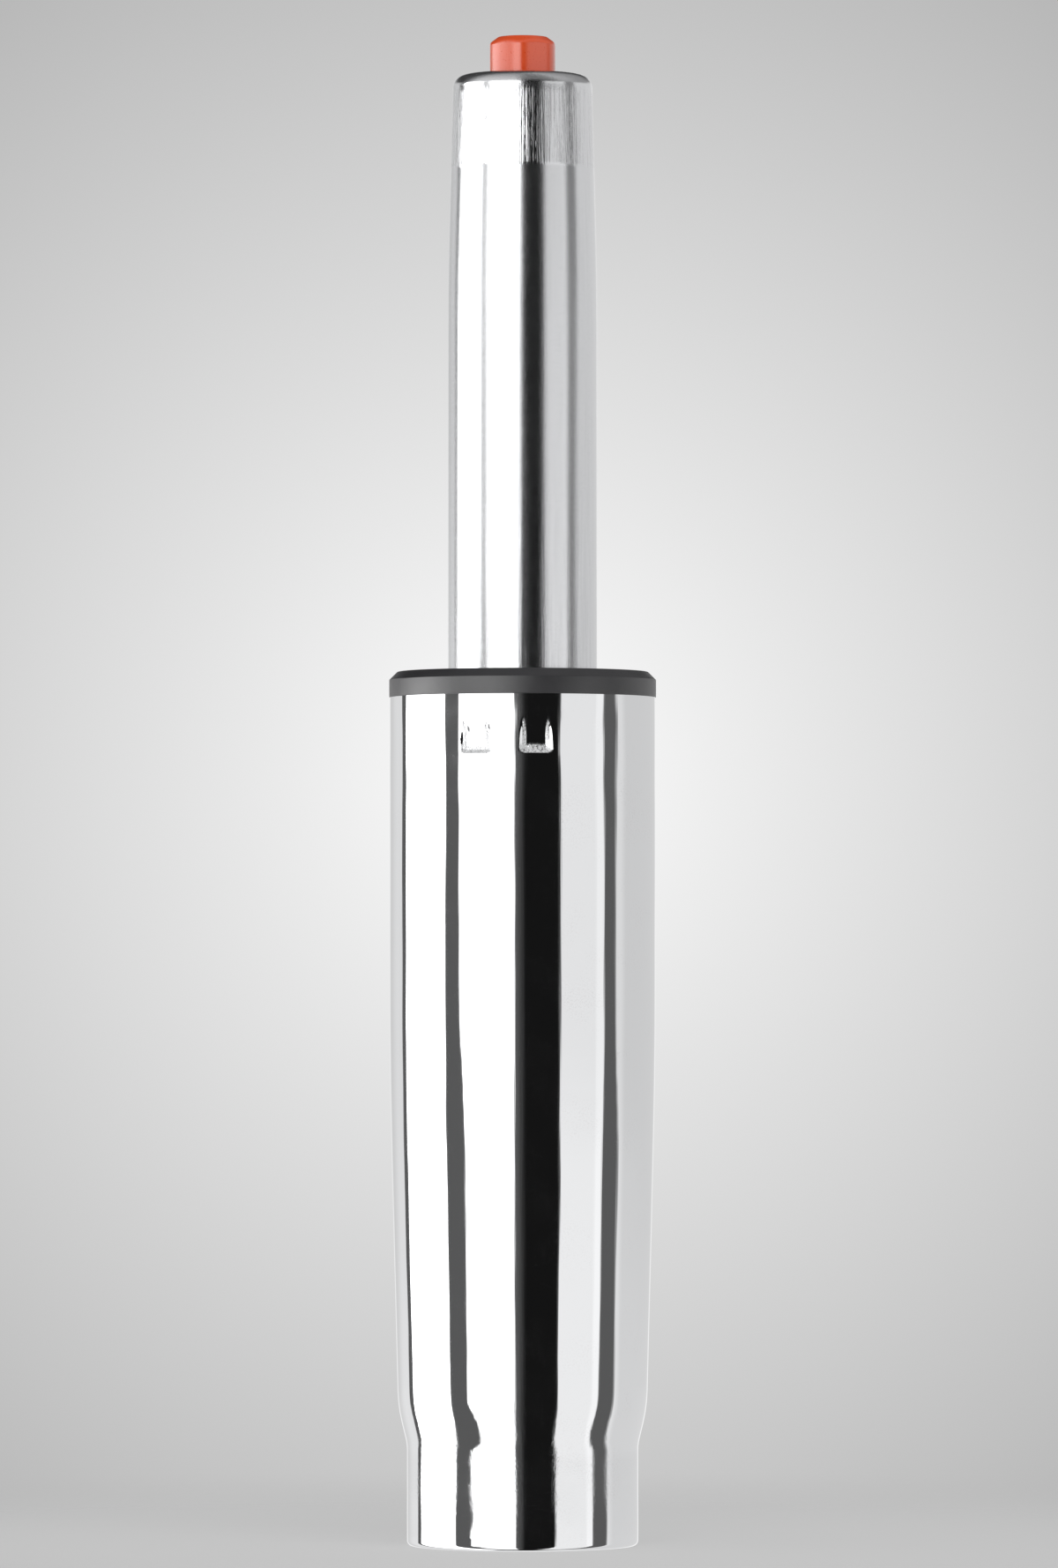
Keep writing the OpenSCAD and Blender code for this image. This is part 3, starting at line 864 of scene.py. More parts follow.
class Rule:
    """A Geometry Nodes tree with named inputs, run once on an object."""

    def __init__(self, name: str, slot: Slot) -> None:
        """Starts the tree and its geometry sockets.

        Args:
            name: Name of the tree.
            slot: Finish that the tree sets at its end.
        """
        self.group = bpy.data.node_groups.new(name, "GeometryNodeTree")
        self.nodes = Nodes(self.group)
        self.slot = slot
        self.identifiers: dict[str, str] = {}
        self.values: dict[str, object] = {}
        face = self.group.interface
        face.new_socket(name="Geometry", in_out="INPUT", socket_type="NodeSocketGeometry")
        face.new_socket(name="Geometry", in_out="OUTPUT", socket_type="NodeSocketGeometry")
        self.source = self.group.nodes.new("NodeGroupInput")

    def size(self, name: str, value: float) -> Value:
        """Adds a named input.

        Args:
            name: Name of the input.
            value: The value that it gets.

        Returns:
            The input, ready for expressions.
        """
        kind = "NodeSocketInt" if isinstance(value, int) else "NodeSocketFloat"
        socket = self.group.interface.new_socket(name=name, in_out="INPUT", socket_type=kind)
        self.identifiers[name] = socket.identifier
        self.values[name] = value
        return Value(self.nodes, self.source.outputs[name])

    def base(self) -> Value:
        """Gives the mesh that the tree starts from."""
        return Value(self.nodes, self.source.outputs["Geometry"])

    def run(self, thing: bpy.types.Object, result: Value, crease: float = CREASE) -> bpy.types.Object:
        """Ends the tree, runs it on an object and keeps the plain mesh.

        Args:
            thing: The object that carries the start mesh; it is removed.
            result: The geometry that the tree makes.
            crease: Turn between two faces from which their edge stays crisp.

        Returns:
            The new object.
        """
        nodes = self.nodes
        real = nodes.get("GeometryNodeRealizeInstances", sockets={0: result})
        coloured = nodes.get(
            "GeometryNodeSetMaterial", sockets={"Geometry": real, "Material": MATERIALS[self.slot]}
        )
        nodes.add("NodeGroupOutput", sockets={0: coloured})
        modifier = thing.modifiers.new(self.group.name, "NODES")
        modifier.node_group = self.group
        for name, value in self.values.items():
            modifier[self.identifiers[name]] = value
        graph = bpy.context.evaluated_depsgraph_get()
        mesh = bpy.data.meshes.new_from_object(
            thing.evaluated_get(graph), preserve_all_data_layers=True, depsgraph=graph
        )
        name, start = thing.name, thing.data
        thing.modifiers.remove(modifier)
        bpy.data.objects.remove(thing)
        bpy.data.meshes.remove(start)
        mesh.name = name
        return new_object(mesh, crease)


# Sub-assemblies


@dataclass(frozen=True)
class BaseTube:
    """Plated base tube with its hub cone, drawn-in neck, rolled foot rim and pressed dents."""

    SCUFF = "scuff"

    barrel_r: float = 25.0
    wall: float = 2.0
    length: float = 159.2
    neck_r: float = 21.7
    neck_top: float = 19.0
    shoulder_r: float = 23.4
    shoulder_top: float = 26.0
    cone_top: float = 90.0
    blend_r: float = 1400.0
    shoulder_foot_round: float = 9.0
    shoulder_top_round: float = 28.0
    foot_round: float = 1.0
    rim_r: float = 17.3
    rim_h: float = 2.0
    dent_pairs: int = 3
    dent_spread: float = 26.4
    dent_turn: float = -7.4
    dent_top: float = 155.4
    dent_height: float = 7.2
    dent_start: float = 0.65
    dent_tip: float = 2.15
    dent_floor: float = 1.55
    dent_widening: float = 1.05
    dent_ledge: float = 1.1
    dent_margin: float = 0.4
    flank_slope: float = 0.375
    arc_step: float = 5.0
    outer_step: float = 1.45
    bore_step: float = 12.0
    fine_turn: float = 0.18
    coarse_turn: float = 0.55
    skin: float = 0.5
    skin_edge: float = 0.2
    rubbed_within: Limits = (0.0, 0.10)
    rubbed_outside: Limits = (0.5, 0.25)
    rubbed_below: Limits = (0.05, 0.3)
    dragged_above: Limits = (1.7, 1.0)
    dragged_within: Limits = (0.95, 0.7)
    slow_wave: Pattern = Pattern(14.0, detail=1.0, rough=0.4)
    slow_squash: float = 0.6
    quick_wave: Pattern = Pattern(7.5, detail=1.0, rough=0.4)
    quick_squash: float = 0.5
    wave: float = 0.09
    end_wave: float = 0.14
    still_foot: Limits = (0.0, 3.0)
    outer_band: Limits = (-1.4, -1.0)
    collar_end: Limits = (141.0, 161.0, 8.0)
    foot_end: Limits = (3.0, 22.0, 6.0)
    hollow_turn: float = -27.5
    hollow_w: float = 1.3
    hollow_run: Limits = (6.0, 21.0, 13.0, 5.0)
    hollow_depth: float = 0.12

    def section(self) -> list[Point]:
        """Draws the section of the wall.

        Returns:
            Points of radius and height.
        """
        inner = self.barrel_r - self.wall
        points = outline([
            (self.rim_r, 0.0), (self.neck_r, 0.0, self.foot_round),
            (self.neck_r, self.neck_top, self.shoulder_foot_round),
            (self.shoulder_r, self.shoulder_top, self.shoulder_top_round),
            (self.barrel_r, self.cone_top, self.blend_r),
            (self.barrel_r, self.length), (inner, self.length), (inner, self.cone_top, self.blend_r),
            (self.shoulder_r - self.wall, self.shoulder_top, self.shoulder_top_round),
            (self.neck_r - self.wall, self.neck_top, self.shoulder_foot_round),
            (self.neck_r - self.wall, self.rim_h), (self.rim_r, self.rim_h),
        ], run_step=self.arc_step)
        return refined(points, self._row_step)

    def _row_step(self, first: Point, last: Point) -> float:
        """Gives the step between rows: fine up the outside, coarse down the bore."""
        return self.outer_step if last[1] > first[1] else self.bore_step

    def _dent_rows(self, points: list[Point]) -> list[Point]:
        """Puts close rows across the dents.

        Args:
            points: The section.

        Returns:
            The section with close rows on the outside at the dents.
        """
        low = self.dent_top - self.dent_height - 1.5 * self.dent_margin
        high = self.dent_top + self.dent_margin
        rows = ceil((high - low) / self.fine_turn)
        fine = [(self.barrel_r, low + (high - low) * i / rows) for i in range(rows + 1)]
        outside, near = self.barrel_r - 0.01, 0.3
        kept = [p for p in points if not (p[0] > outside and low - near < p[1] < high + near)]
        at = max(i for i, p in enumerate(kept) if p[0] > outside and p[1] < low)
        return kept[:at + 1] + fine + kept[at + 1:]

    def _turns(self) -> list[float]:
        """Gives the angles of the columns, close at the dents and wide between them.

        Returns:
            The angles.
        """
        reach = (self.dent_tip + self.dent_widening + self.dent_margin) / self.barrel_r
        first = TOWARDS_CAMERA + self.dent_turn
        centres = [
            radians(first + pair * 360 / self.dent_pairs + side * self.dent_spread / 2)
            for pair in range(self.dent_pairs) for side in (-1, 1)
        ]
        edges = sorted((c - reach) % FULL_TURN for c in centres)
        turns: list[float] = []
        for i, start in enumerate(edges):
            follow = edges[(i + 1) % len(edges)] + (FULL_TURN if i == len(edges) - 1 else 0)
            for low, high, step in (
                (start, start + 2 * reach, self.fine_turn), (start + 2 * reach, follow, self.coarse_turn)
            ):
                count = ceil((high - low) * self.barrel_r / step)
                turns += [low + (high - low) * j / count for j in range(count)]
        return turns

    def _outer(self, nodes: Nodes, reach: Value, z: Value) -> Value:
        """Tells the outside of the wall from the bore.

        Args:
            nodes: The tree.
            reach: Distance from the axis.
            z: Height.

        Returns:
            1 on the outside and 0 in the bore.
        """
        rise = (self.barrel_r - self.shoulder_r) / (self.cone_top - self.shoulder_top)
        cone = self.shoulder_r + (z - self.shoulder_top) * rise
        return nodes.smooth(reach - nodes.capped(cone, self.neck_r, self.barrel_r), *self.outer_band)

    def _press(self, rule: Rule) -> Value:
        """Writes the rule that presses the dents and leaves the tube slightly wavy.

        Args:
            rule: The tree.

        Returns:
            The pressed mesh.
        """
        nodes = rule.nodes
        pairs = rule.size("Pairs of dents", self.dent_pairs)
        spread = rule.size("Spread of a pair", radians(self.dent_spread))
        turn = rule.size("Turn of the first pair", radians(TOWARDS_CAMERA + self.dent_turn))
        top = rule.size("Top of a dent", self.dent_top)
        height = rule.size("Height of a dent", self.dent_height)
        tip = rule.size("Half width at the top", self.dent_tip)
        floor_half = rule.size("Half width of the floor", self.dent_floor)
        widening = rule.size("Widening to the foot", self.dent_widening)
        ledge_h = rule.size("Height of the ledge", self.dent_ledge)
        slope = rule.size("Depth of a flank for its width", self.flank_slope)
        start = rule.size("Share of the height that runs in", self.dent_start)
        radius = rule.size("Radius of the barrel", self.barrel_r)
        wave = rule.size("Waviness", self.wave)
        end_wave = rule.size("Waviness at the ends", self.end_wave)
        hollow_turn = rule.size("Turn of the hollow in the neck", radians(TOWARDS_CAMERA + self.hollow_turn))
        hollow_w = rule.size("Width of the hollow", self.hollow_w)
        hollow_depth = rule.size("Depth of the hollow", self.hollow_depth)

        place = nodes.get("GeometryNodeInputPosition")
        mm = nodes.get("ShaderNodeVectorMath", {"operation": "SCALE"}, {0: place, "Scale": 1 / MM})
        x, y, z = nodes.parts(mm)
        reach = nodes.length(x, y)
        angle = nodes.math("ARCTAN2", y, x) - turn
        period = FULL_TURN / pairs
        local = nodes.math("WRAP", angle, period * 0.5, period * -0.5)
        across = abs(abs(local) - spread * 0.5) * radius
        share = nodes.capped((top - z) / height, 0.0, 1.0)
        inner = floor_half + (tip - floor_half) * (1.0 - share) ** 3.0
        outer = tip + widening * share ** 0.3
        width = outer - inner
        flank = 1.0 - nodes.math("MINIMUM", (outer - across) / nodes.math("MAXIMUM", width, 0.01), 1.0)
        rise = (z - top + height) / ledge_h
        ledge = 1.0 - nodes.math("MINIMUM", rise, 1.0)
        rim = flank * flank + ledge ** 4.0
        outside = nodes.smooth(reach, radius - self.skin, radius - self.skin_edge)
        press = nodes.math("MAXIMUM", 1.0 - rim, 0.0) * width * slope * outside
        press = press * nodes.smooth(share, 0.0, start)

        rubbed = nodes.smooth(rim, *self.rubbed_within) * nodes.smooth(rim, *self.rubbed_outside)
        rubbed = rubbed * nodes.smooth(share, *self.rubbed_below)
        dragged = nodes.smooth(rise, *self.dragged_above) * nodes.smooth(rim, *self.dragged_within)
        scuff = nodes.math("MAXIMUM", rubbed, dragged) * outside
        slow = nodes.noise(nodes.join(x, y, z * self.slow_squash), self.slow_wave) - 0.5
        quick = nodes.noise(nodes.join(x, y, z * self.quick_squash), self.quick_wave) - 0.5
        ends = nodes.window(z, *self.collar_end) + nodes.window(z, *self.foot_end)
        aside = (nodes.math("ARCTAN2", y, x) - hollow_turn) * self.neck_r / hollow_w
        hollow = nodes.math("EXPONENT", aside * aside * -0.5) * hollow_depth
        hollow = hollow * nodes.window(z, *self.hollow_run)
        swell = (slow * wave + quick * end_wave * ends - hollow) * self._outer(nodes, reach, z)
        move = swell * nodes.smooth(z, *self.still_foot) - press
        offset = nodes.join(x / reach * move * MM, y / reach * move * MM, 0.0)
        marked = nodes.get(
            "GeometryNodeStoreNamedAttribute",
            {"data_type": "FLOAT", "domain": "POINT"},
            {"Geometry": rule.base(), "Name": self.SCUFF, "Value": scuff},
        )
        return nodes.get("GeometryNodeSetPosition", sockets={"Geometry": marked, "Offset": offset})

    def build(self) -> None:
        """Makes the tube."""
        section = self._dent_rows(self.section())
        mesh = ring_mesh("dented_base_tube", turned_rows(section, self._turns()), closed=True)
        rule = Rule("Pressed dents", Slot.CHROME)
        pressed = self._press(rule)
        tube = rule.run(new_object(mesh), pressed)
        add_piece(tube, Body.BASE, Slot.CHROME, "outer_tube")


@dataclass(frozen=True)
class GuideBush:
    """Black collar on the tube's top edge, and below it the ribbed sleeve that guides the column."""

    collar_r: float = 25.1
    collar_foot: float = 159.2
    collar_top: float = 164.0
    chamfer: float = 1.5
    edge_round: float = 0.18
    fit_r: float = 22.97
    bore_r: float = 14.06
    relief_r: float = 14.56
    sleeve_r: float = 17.46
    foot_z: float = 108.0
    ring_top: float = 113.0
    band_foot: float = 144.3
    groove_foot: float = 148.3
    groove_top: float = 155.7
    groove_r: float = 21.4
    land: float = 15.0
    relief: float = 0.5
    lead_in: float = 0.5
    fillet: float = 0.8
    ribs: int = 12
    rib_w: float = 2.0
    rib_gap: float = 0.2
    join: float = 0.5
    columns: int = 256

    def section(self) -> list[Point]:
        """Draws the section of the bush.

        Returns:
            Points of radius and height.
        """
        soft = self.edge_round
        return outline([
            (self.bore_r, self.foot_z), (self.fit_r - self.lead_in, self.foot_z),
            (self.fit_r, self.foot_z + self.lead_in), (self.fit_r, self.ring_top),
            (self.sleeve_r, self.ring_top, self.fillet), (self.sleeve_r, self.band_foot, self.fillet),
            (self.fit_r, self.band_foot), (self.fit_r, self.groove_foot), (self.groove_r, self.groove_foot),
            (self.groove_r, self.groove_top), (self.fit_r, self.groove_top), (self.fit_r, self.collar_foot),
            (self.collar_r, self.collar_foot, soft), (self.collar_r, self.collar_top - self.chamfer, soft),
            (self.collar_r - self.chamfer, self.collar_top, soft),
            (self.bore_r + self.lead_in, self.collar_top), (self.bore_r, self.collar_top - self.lead_in),
            (self.bore_r, self.collar_top - self.land),
            (self.relief_r, self.collar_top - self.land - self.relief),
            (self.relief_r, self.foot_z + self.land + self.relief), (self.bore_r, self.foot_z + self.land),
        ])

    def build(self) -> None:
        """Makes the bush, its ribs set round the sleeve by a rule."""
        rows = turned_rows(self.section(), even_turns(self.columns))
        mesh = ring_mesh("guide_collar", rows, closed=True)
        rule = Rule("Ribs round the sleeve", Slot.ACETAL)
        nodes = rule.nodes
        count = rule.size("Ribs", self.ribs)
        width = rule.size("Rib width", self.rib_w * MM)
        inner = rule.size("Rib inner radius", (self.sleeve_r - self.join) * MM)
        outer = rule.size("Rib outer radius", (self.fit_r - self.rib_gap) * MM)
        foot = rule.size("Rib foot", (self.ring_top - self.join) * MM)
        top = rule.size("Rib top", (self.band_foot + self.join) * MM)
        size = nodes.join(outer - inner, width, top - foot)
        block = nodes.get("GeometryNodeMeshCube", sockets={"Size": size})
        middle = nodes.join((outer + inner) / 2.0, 0.0, (top + foot) / 2.0)
        rib = nodes.get("GeometryNodeTransform", sockets={"Geometry": block, "Translation": middle})
        points = nodes.get("GeometryNodePoints", sockets={"Count": count})
        index = nodes.get("GeometryNodeInputIndex")
        turn = nodes.join(0.0, 0.0, index * FULL_TURN / count)
        ribs = nodes.get(
            "GeometryNodeInstanceOnPoints", sockets={"Points": points, "Instance": rib, "Rotation": turn}
        )
        joined = nodes.add("GeometryNodeJoinGeometry")
        nodes.feed(joined.inputs[0], ribs)
        nodes.feed(joined.inputs[0], rule.base())
        bush = rule.run(new_object(mesh), Value(nodes, joined.outputs[0]))
        add_piece(bush, Body.BASE, Slot.ACETAL, "guide_bush")


@dataclass(frozen=True)
class GasColumn:
    """Pressure tube with its seat cone, rounded top and rolled-in ends."""

    radius: float = 14.0
    bore_r: float = 12.0
    top_r: float = 13.05
    foot_z: float = 95.4
    top_z: float = 276.4
    taper: float = 38.0
    blend_r: float = 800.0
    top_round: float = 2.4
    foot_round: float = 1.5
    lip_t: float = 2.0
    lip_r: float = 9.0
    hole_r: float = 7.64
    hole_round: float = 0.2
    turn_step: float = radians(5)
    columns: int = 256

    def build(self) -> None:
        """Makes the pressure tube and dresses what it holds."""
        soft = self.hole_round
        section = outline([
            (self.lip_r, self.foot_z), (self.radius, self.foot_z, self.foot_round),
            (self.radius, self.top_z - self.taper, self.blend_r), (self.top_r, self.top_z, self.top_round),
            (self.hole_r, self.top_z, soft), (self.hole_r, self.top_z - self.lip_t),
            (self.bore_r, self.top_z - self.lip_t), (self.bore_r, self.foot_z + self.lip_t),
            (self.lip_r, self.foot_z + self.lip_t),
        ], turn_step=self.turn_step)
        mesh = ring_mesh("column_tube", turned_rows(section, even_turns(self.columns)), closed=True)
        add_piece(new_object(mesh), Body.COLUMN, Slot.GROUND, "pressure_tube")
        dress(Slot.DRAWN, "inner_cylinder", "valve_cap")
        dress(Slot.NYLON, "rod_guide", "seal_spacer")
        dress(Slot.SEAL, "guide_o_ring", "rod_seal", "body_o_ring", "spigot_o_ring", "pin_seals")
        dress(Slot.CAST, "cylinder_seat", "valve_body")


@dataclass(frozen=True)
class ReleaseButton:
    """Six-sided button with softened corners, on the flange and skirt that keep it in the column."""

    apothem: float = 6.1
    corner_r: float = 7.044
    roundness: float = 8.0
    turn: float = -94.0
    top_z: float = 283.6
    face_r: float = 4.7
    slope: float = 36.0
    blend: float = 0.5
    flange_r: float = 8.44
    flange_z: float = 271.7
    flange_t: float = 2.6
    skirt_r: float = 6.44
    skirt_h: float = 2.6
    bore_r: float = 2.03
    bore_top: float = 277.5
    chamfer: float = 0.3
    straight: float = 3.2
    foot_run: float = 1.5
    lead: float = 0.6
    trim_rows: int = 22
    cap_shares: tuple[float, ...] = (0.97, 0.9, 0.6)
    columns: int = 360
    crease: float = radians(40)

    def _hexagon(self, angle: float) -> float:
        """Gives the reach of the six-sided outline.

        Args:
            angle: Angle round the axis.

        Returns:
            The reach.
        """
        total = 0.0
        for side in range(6):
            face = max(0.0, cos(angle - radians(self.turn + 30 + 60 * side)))
            total += face ** self.roundness
        return self.apothem / total ** (1 / self.roundness)

    def _trim(self, reach: float, limit: float) -> float:
        """Takes the smaller of two reaches with a softened edge between them.

        Args:
            reach: Reach of the six-sided outline.
            limit: Reach of the cone that trims it.

        Returns:
            The reach that is left.
        """
        share = max(0.0, min(1.0, 0.5 + (limit - reach) / (2 * self.blend)))
        return limit + (reach - limit) * share - self.blend * share * (1 - share)

    def _rows(self) -> list[list[Vector]]:
        """Lays the rings from the bore's roof over the skirt and flange to the top.

        Returns:
            The rings.
        """
        turns = even_turns(self.columns)
        flange_top = self.flange_z + self.flange_t
        skirt_z = self.flange_z - self.skirt_h
        cut = self.chamfer
        lower = [
            (0.0, self.bore_top), (self.bore_r, self.bore_top), (self.bore_r, skirt_z),
            (self.skirt_r - cut, skirt_z), (self.skirt_r, skirt_z + cut), (self.skirt_r, self.flange_z),
            (self.flange_r - cut, self.flange_z), (self.flange_r, self.flange_z + cut),
            (self.flange_r, flange_top - cut), (self.flange_r - cut, flange_top),
        ]
        rows = turned_rows(lower, turns)
        trim = (self.corner_r - self.face_r) * tan(radians(self.slope)) + self.lead
        trim_foot = self.top_z - trim
        heights = [flange_top, flange_top + self.foot_run, self.top_z - self.straight, trim_foot]
        heights += [trim_foot + trim * i / self.trim_rows for i in range(1, self.trim_rows + 1)]
        for height in heights:
            limit = self.face_r + (self.top_z - height) / tan(radians(self.slope))
            reach = [self._trim(self._hexagon(turn), limit) for turn in turns]
            rows.append([Vector((r * cos(t), r * sin(t), height)) for r, t in zip(reach, turns)])
        edge = rows[-1]
        for share in self.cap_shares:
            rows.append([Vector((p.x * share, p.y * share, self.top_z)) for p in edge])
        rows.append([Vector((0, 0, self.top_z))])
        return rows

    def build(self) -> None:
        """Makes the button and dresses its pin."""
        mesh = ring_mesh("push_button", self._rows(), closed=False)
        add_piece(new_object(mesh, self.crease), Body.BUTTON, Slot.ORANGE, "release_button")
        dress(Slot.ROD, "valve_pin")


@dataclass(frozen=True)
class SwivelBearing:
    """Balls in their cage between two races."""

    ball_r: float = 2.0
    circle_r: float = 7.8
    height: float = 18.0
    count: int = 9
    segments: int = 32
    rings: int = 16

    def build(self) -> None:
        """Sets the balls on their circle by a rule and dresses the races and the cage."""
        start = new_object(bpy.data.meshes.new("ball_set"))
        rule = Rule("Balls on a circle", Slot.BEARING)
        nodes = rule.nodes
        count = rule.size("Balls", self.count)
        circle = rule.size("Circle radius", self.circle_r * MM)
        ball = rule.size("Ball radius", self.ball_r * MM)
        height = rule.size("Height", self.height * MM)
        index = nodes.get("GeometryNodeInputIndex")
        turn = index * FULL_TURN / count
        spot = nodes.join(nodes.math("COSINE", turn) * circle, nodes.math("SINE", turn) * circle, height)
        points = nodes.get("GeometryNodePoints", sockets={"Count": count, "Position": spot})
        sphere = nodes.get(
            "GeometryNodeMeshUVSphere",
            sockets={"Segments": self.segments, "Rings": self.rings, "Radius": ball},
        )
        balls = nodes.get("GeometryNodeInstanceOnPoints", sockets={"Points": points, "Instance": sphere})
        add_piece(rule.run(start, balls), Body.CAGE, Slot.BEARING, "bearing_balls")
        dress(Slot.NYLON, "ball_cage")
        dress(Slot.BEARING, "lower_race", "upper_race")


@dataclass(frozen=True)
class FootSet:
    """Pressed cup in the foot, with the washer and clip that hold the rod, and the end stop above."""

    def build(self) -> None:
        """Dresses the pieces."""
        dress(Slot.ZINC, "base_cup", "rod_washer", "bumper_dish")
        dress(Slot.SPRING, "retaining_clip")
        dress(Slot.BUMPER, "rubber_bumper")
        dress(Slot.ROD, "piston_rod")


@dataclass(frozen=True)
class PistonSet:
    """Piston with its ring, seal, washer and nut."""

    def build(self) -> None:
        """Dresses the pieces."""
        dress(Slot.CAST, "piston")
        dress(Slot.GLIDE, "piston_glide_ring")
        dress(Slot.SEAL, "piston_o_ring")
        dress(Slot.ZINC, "piston_washer", "piston_nut")


# Studio


def moved(start: float, shares: Iterable[Value], steps: Iterable[float]) -> Number:
    """Moves a number by several steps.

    Args:
        start: The number.
        shares: Shares from 0 to 1 of the steps.
        steps: The steps.

    Returns:
        The moved number.
    """
    place: Number = start
    for share, step in zip(shares, steps):
        if step:
            place = share * step + place
    return place


@dataclass(frozen=True)
class Panel:
    """A soft light or reflector that stands upright round the piece.

    Angles count from the camera's side, positive to the right. The edges move and
    the strength gains by the given steps just below eye height, far below it, high
    above it, above the collar's height and above the middle of the column.
    """

    left: float
    right: float
    strength: float
    left_edge: float = 1.6
    right_edge: float = 1.6
    left_moves: tuple[float, ...] = ()
    right_moves: tuple[float, ...] = ()
    gains: tuple[float, ...] = ()


@dataclass(frozen=True)
class Studio:
    """Camera, surroundings, overhead light and floor."""

    picture_h: float = 1778.0
    scale: float = 6.032
    distance: float = 1800.0
    eye_z: float = 100.0
    aim_x: float = 1.2
    aim_z: float = 142.95
    sensor: float = 36.0
    glow_x: float = -0.4
    glow_z: float = 146.3
    glow_peak: float = 0.988
    glow_fall: float = 2.74
    glow_least: float = 0.70
    step_limits: tuple[Limits, ...] = (
        (-0.2, -3.0), (-8.0, -27.0), (6.0, 9.0), (2.3, 3.0), (3.8, 4.3)
    )
    key_low: float = -16.0
    key_high: float = 14.0
    key_edge: float = 1.5
    key_share_below: float = 0.61
    key_matt: float = 0.47
    reflector_matt: float = 0.72
    reflector_low: Limits = (-1.0, -4.0)
    reflector_gain: float = 0.10
    reach_below: float = -70.0
    reach_fade: float = 10.0
    spill: float = 0.62
    spill_base: float = 21.0
    spill_half: float = 38.0
    spill_left: Limits = (-128.0, -5.0, 10.0)
    spill_right: Limits = (35.0, 130.0, 8.0)
    spill_right_share: float = 0.1
    front_limits: Limits = (-0.5, 0.2)
    ceiling: float = 0.13
    ceiling_full: float = 40.0
    back_ceiling: float = 0.05
    back_right: float = 0.26
    back_window: Limits = (60.0, 155.0, 30.0)
    room: float = 0.11
    room_black: float = 0.008
    black_window: Limits = (-1.8, 31.8, 11.5, 2.4)
    lamp_power: float = 10.0
    lamp_size: float = 1200.0
    lamp_place: tuple[float, float, float] = (200.0, -900.0, 1300.0)
    lamp_aim: tuple[float, float, float] = (0.0, 0.0, 140.0)
    floor_rings: tuple[float, ...] = (0.0, 60.0, 150.0, 300.0, 600.0, 1000.0, 1500.0)
    floor_columns: int = 96
    floor_dark: Colour = (0.60, 0.60, 0.60)
    floor_pale: Colour = (0.63, 0.63, 0.63)
    floor_speckle: Pattern = Pattern(2.5, detail=3.0)
    floor_painted_glow_middle: float = 0.812
    floor_painted_glow_falloff: float = 0.0000007
    floor_glow: float = 0.72
    floor_fade: Limits = (70.0, 300.0)

    keys = (
        Panel(-121.5, -70.6, 3.4, left_moves=(0.0, 0.0, 8.0, 4.0)),
        Panel(
            -56.6, -7.4, 2.0, right_edge=2.4,
            left_moves=(4.5, 7.0), right_moves=(0.0, 0.0, 0.0, 3.5), gains=(0.0, 0.0, 0.8, 0.4),
        ),
    )
    reflectors = (
        Panel(-200.0, -128.6, 0.54, gains=(0.0, 0.0, 0.0, -0.09)),
        Panel(-150.0, -128.6, 0.15, left_edge=24.0, gains=(0.0, 0.0, 0.0, -0.03)),
        Panel(-72.0, -56.0, 0.0, gains=(0.0, 0.0, 0.0, 1.6, -1.2)),
        Panel(
            33.0, 75.4, 0.78, right_edge=2.6, left_moves=(0.0, 0.0, 0.0, 2.5),
            right_moves=(-1.0, -1.5, 0.0, -1.5), gains=(0.0, 0.0, 0.0, -0.13),
        ),
        Panel(67.0, 75.4, 0.10, left_edge=4.0, right_moves=(-1.0, -1.5, 0.0, -1.5)),
        Panel(74.0, 92.0, 0.0, left_edge=3.0, right_edge=3.0, gains=(0.0, 0.0, 0.0, 0.50, -0.40)),
        Panel(
            88.5, 200.0, 0.57, left_edge=4.0, left_moves=(4.5, 0.0, 0.0, 6.0), gains=(0.0, 0.0, 0.0, 0.04)
        ),
        Panel(89.5, 98.0, 0.12, right_edge=9.0, left_moves=(4.5, 0.0, 0.0, 6.0)),
        Panel(-200.0, -166.0, 0.22, right_edge=8.0), Panel(166.0, 200.0, 0.22, left_edge=8.0),
    )

    def _camera(self) -> None:
        """Sets the camera as the photograph was taken."""
        data = bpy.data.cameras.new("camera")
        camera = bpy.data.objects.new("camera", data)
        bpy.context.scene.collection.objects.link(camera)
        data.sensor_width = self.sensor
        data.lens = self.sensor * self.distance * self.scale / self.picture_h
        eye = Vector((self.aim_x, -self.distance, self.eye_z)) * MM
        aim = Vector((self.aim_x, 0, self.aim_z)) * MM
        camera.location = eye
        camera.rotation_mode = "QUATERNION"
        camera.rotation_quaternion = (aim - eye).to_track_quat("-Z", "Y")
        bpy.context.scene.camera = camera

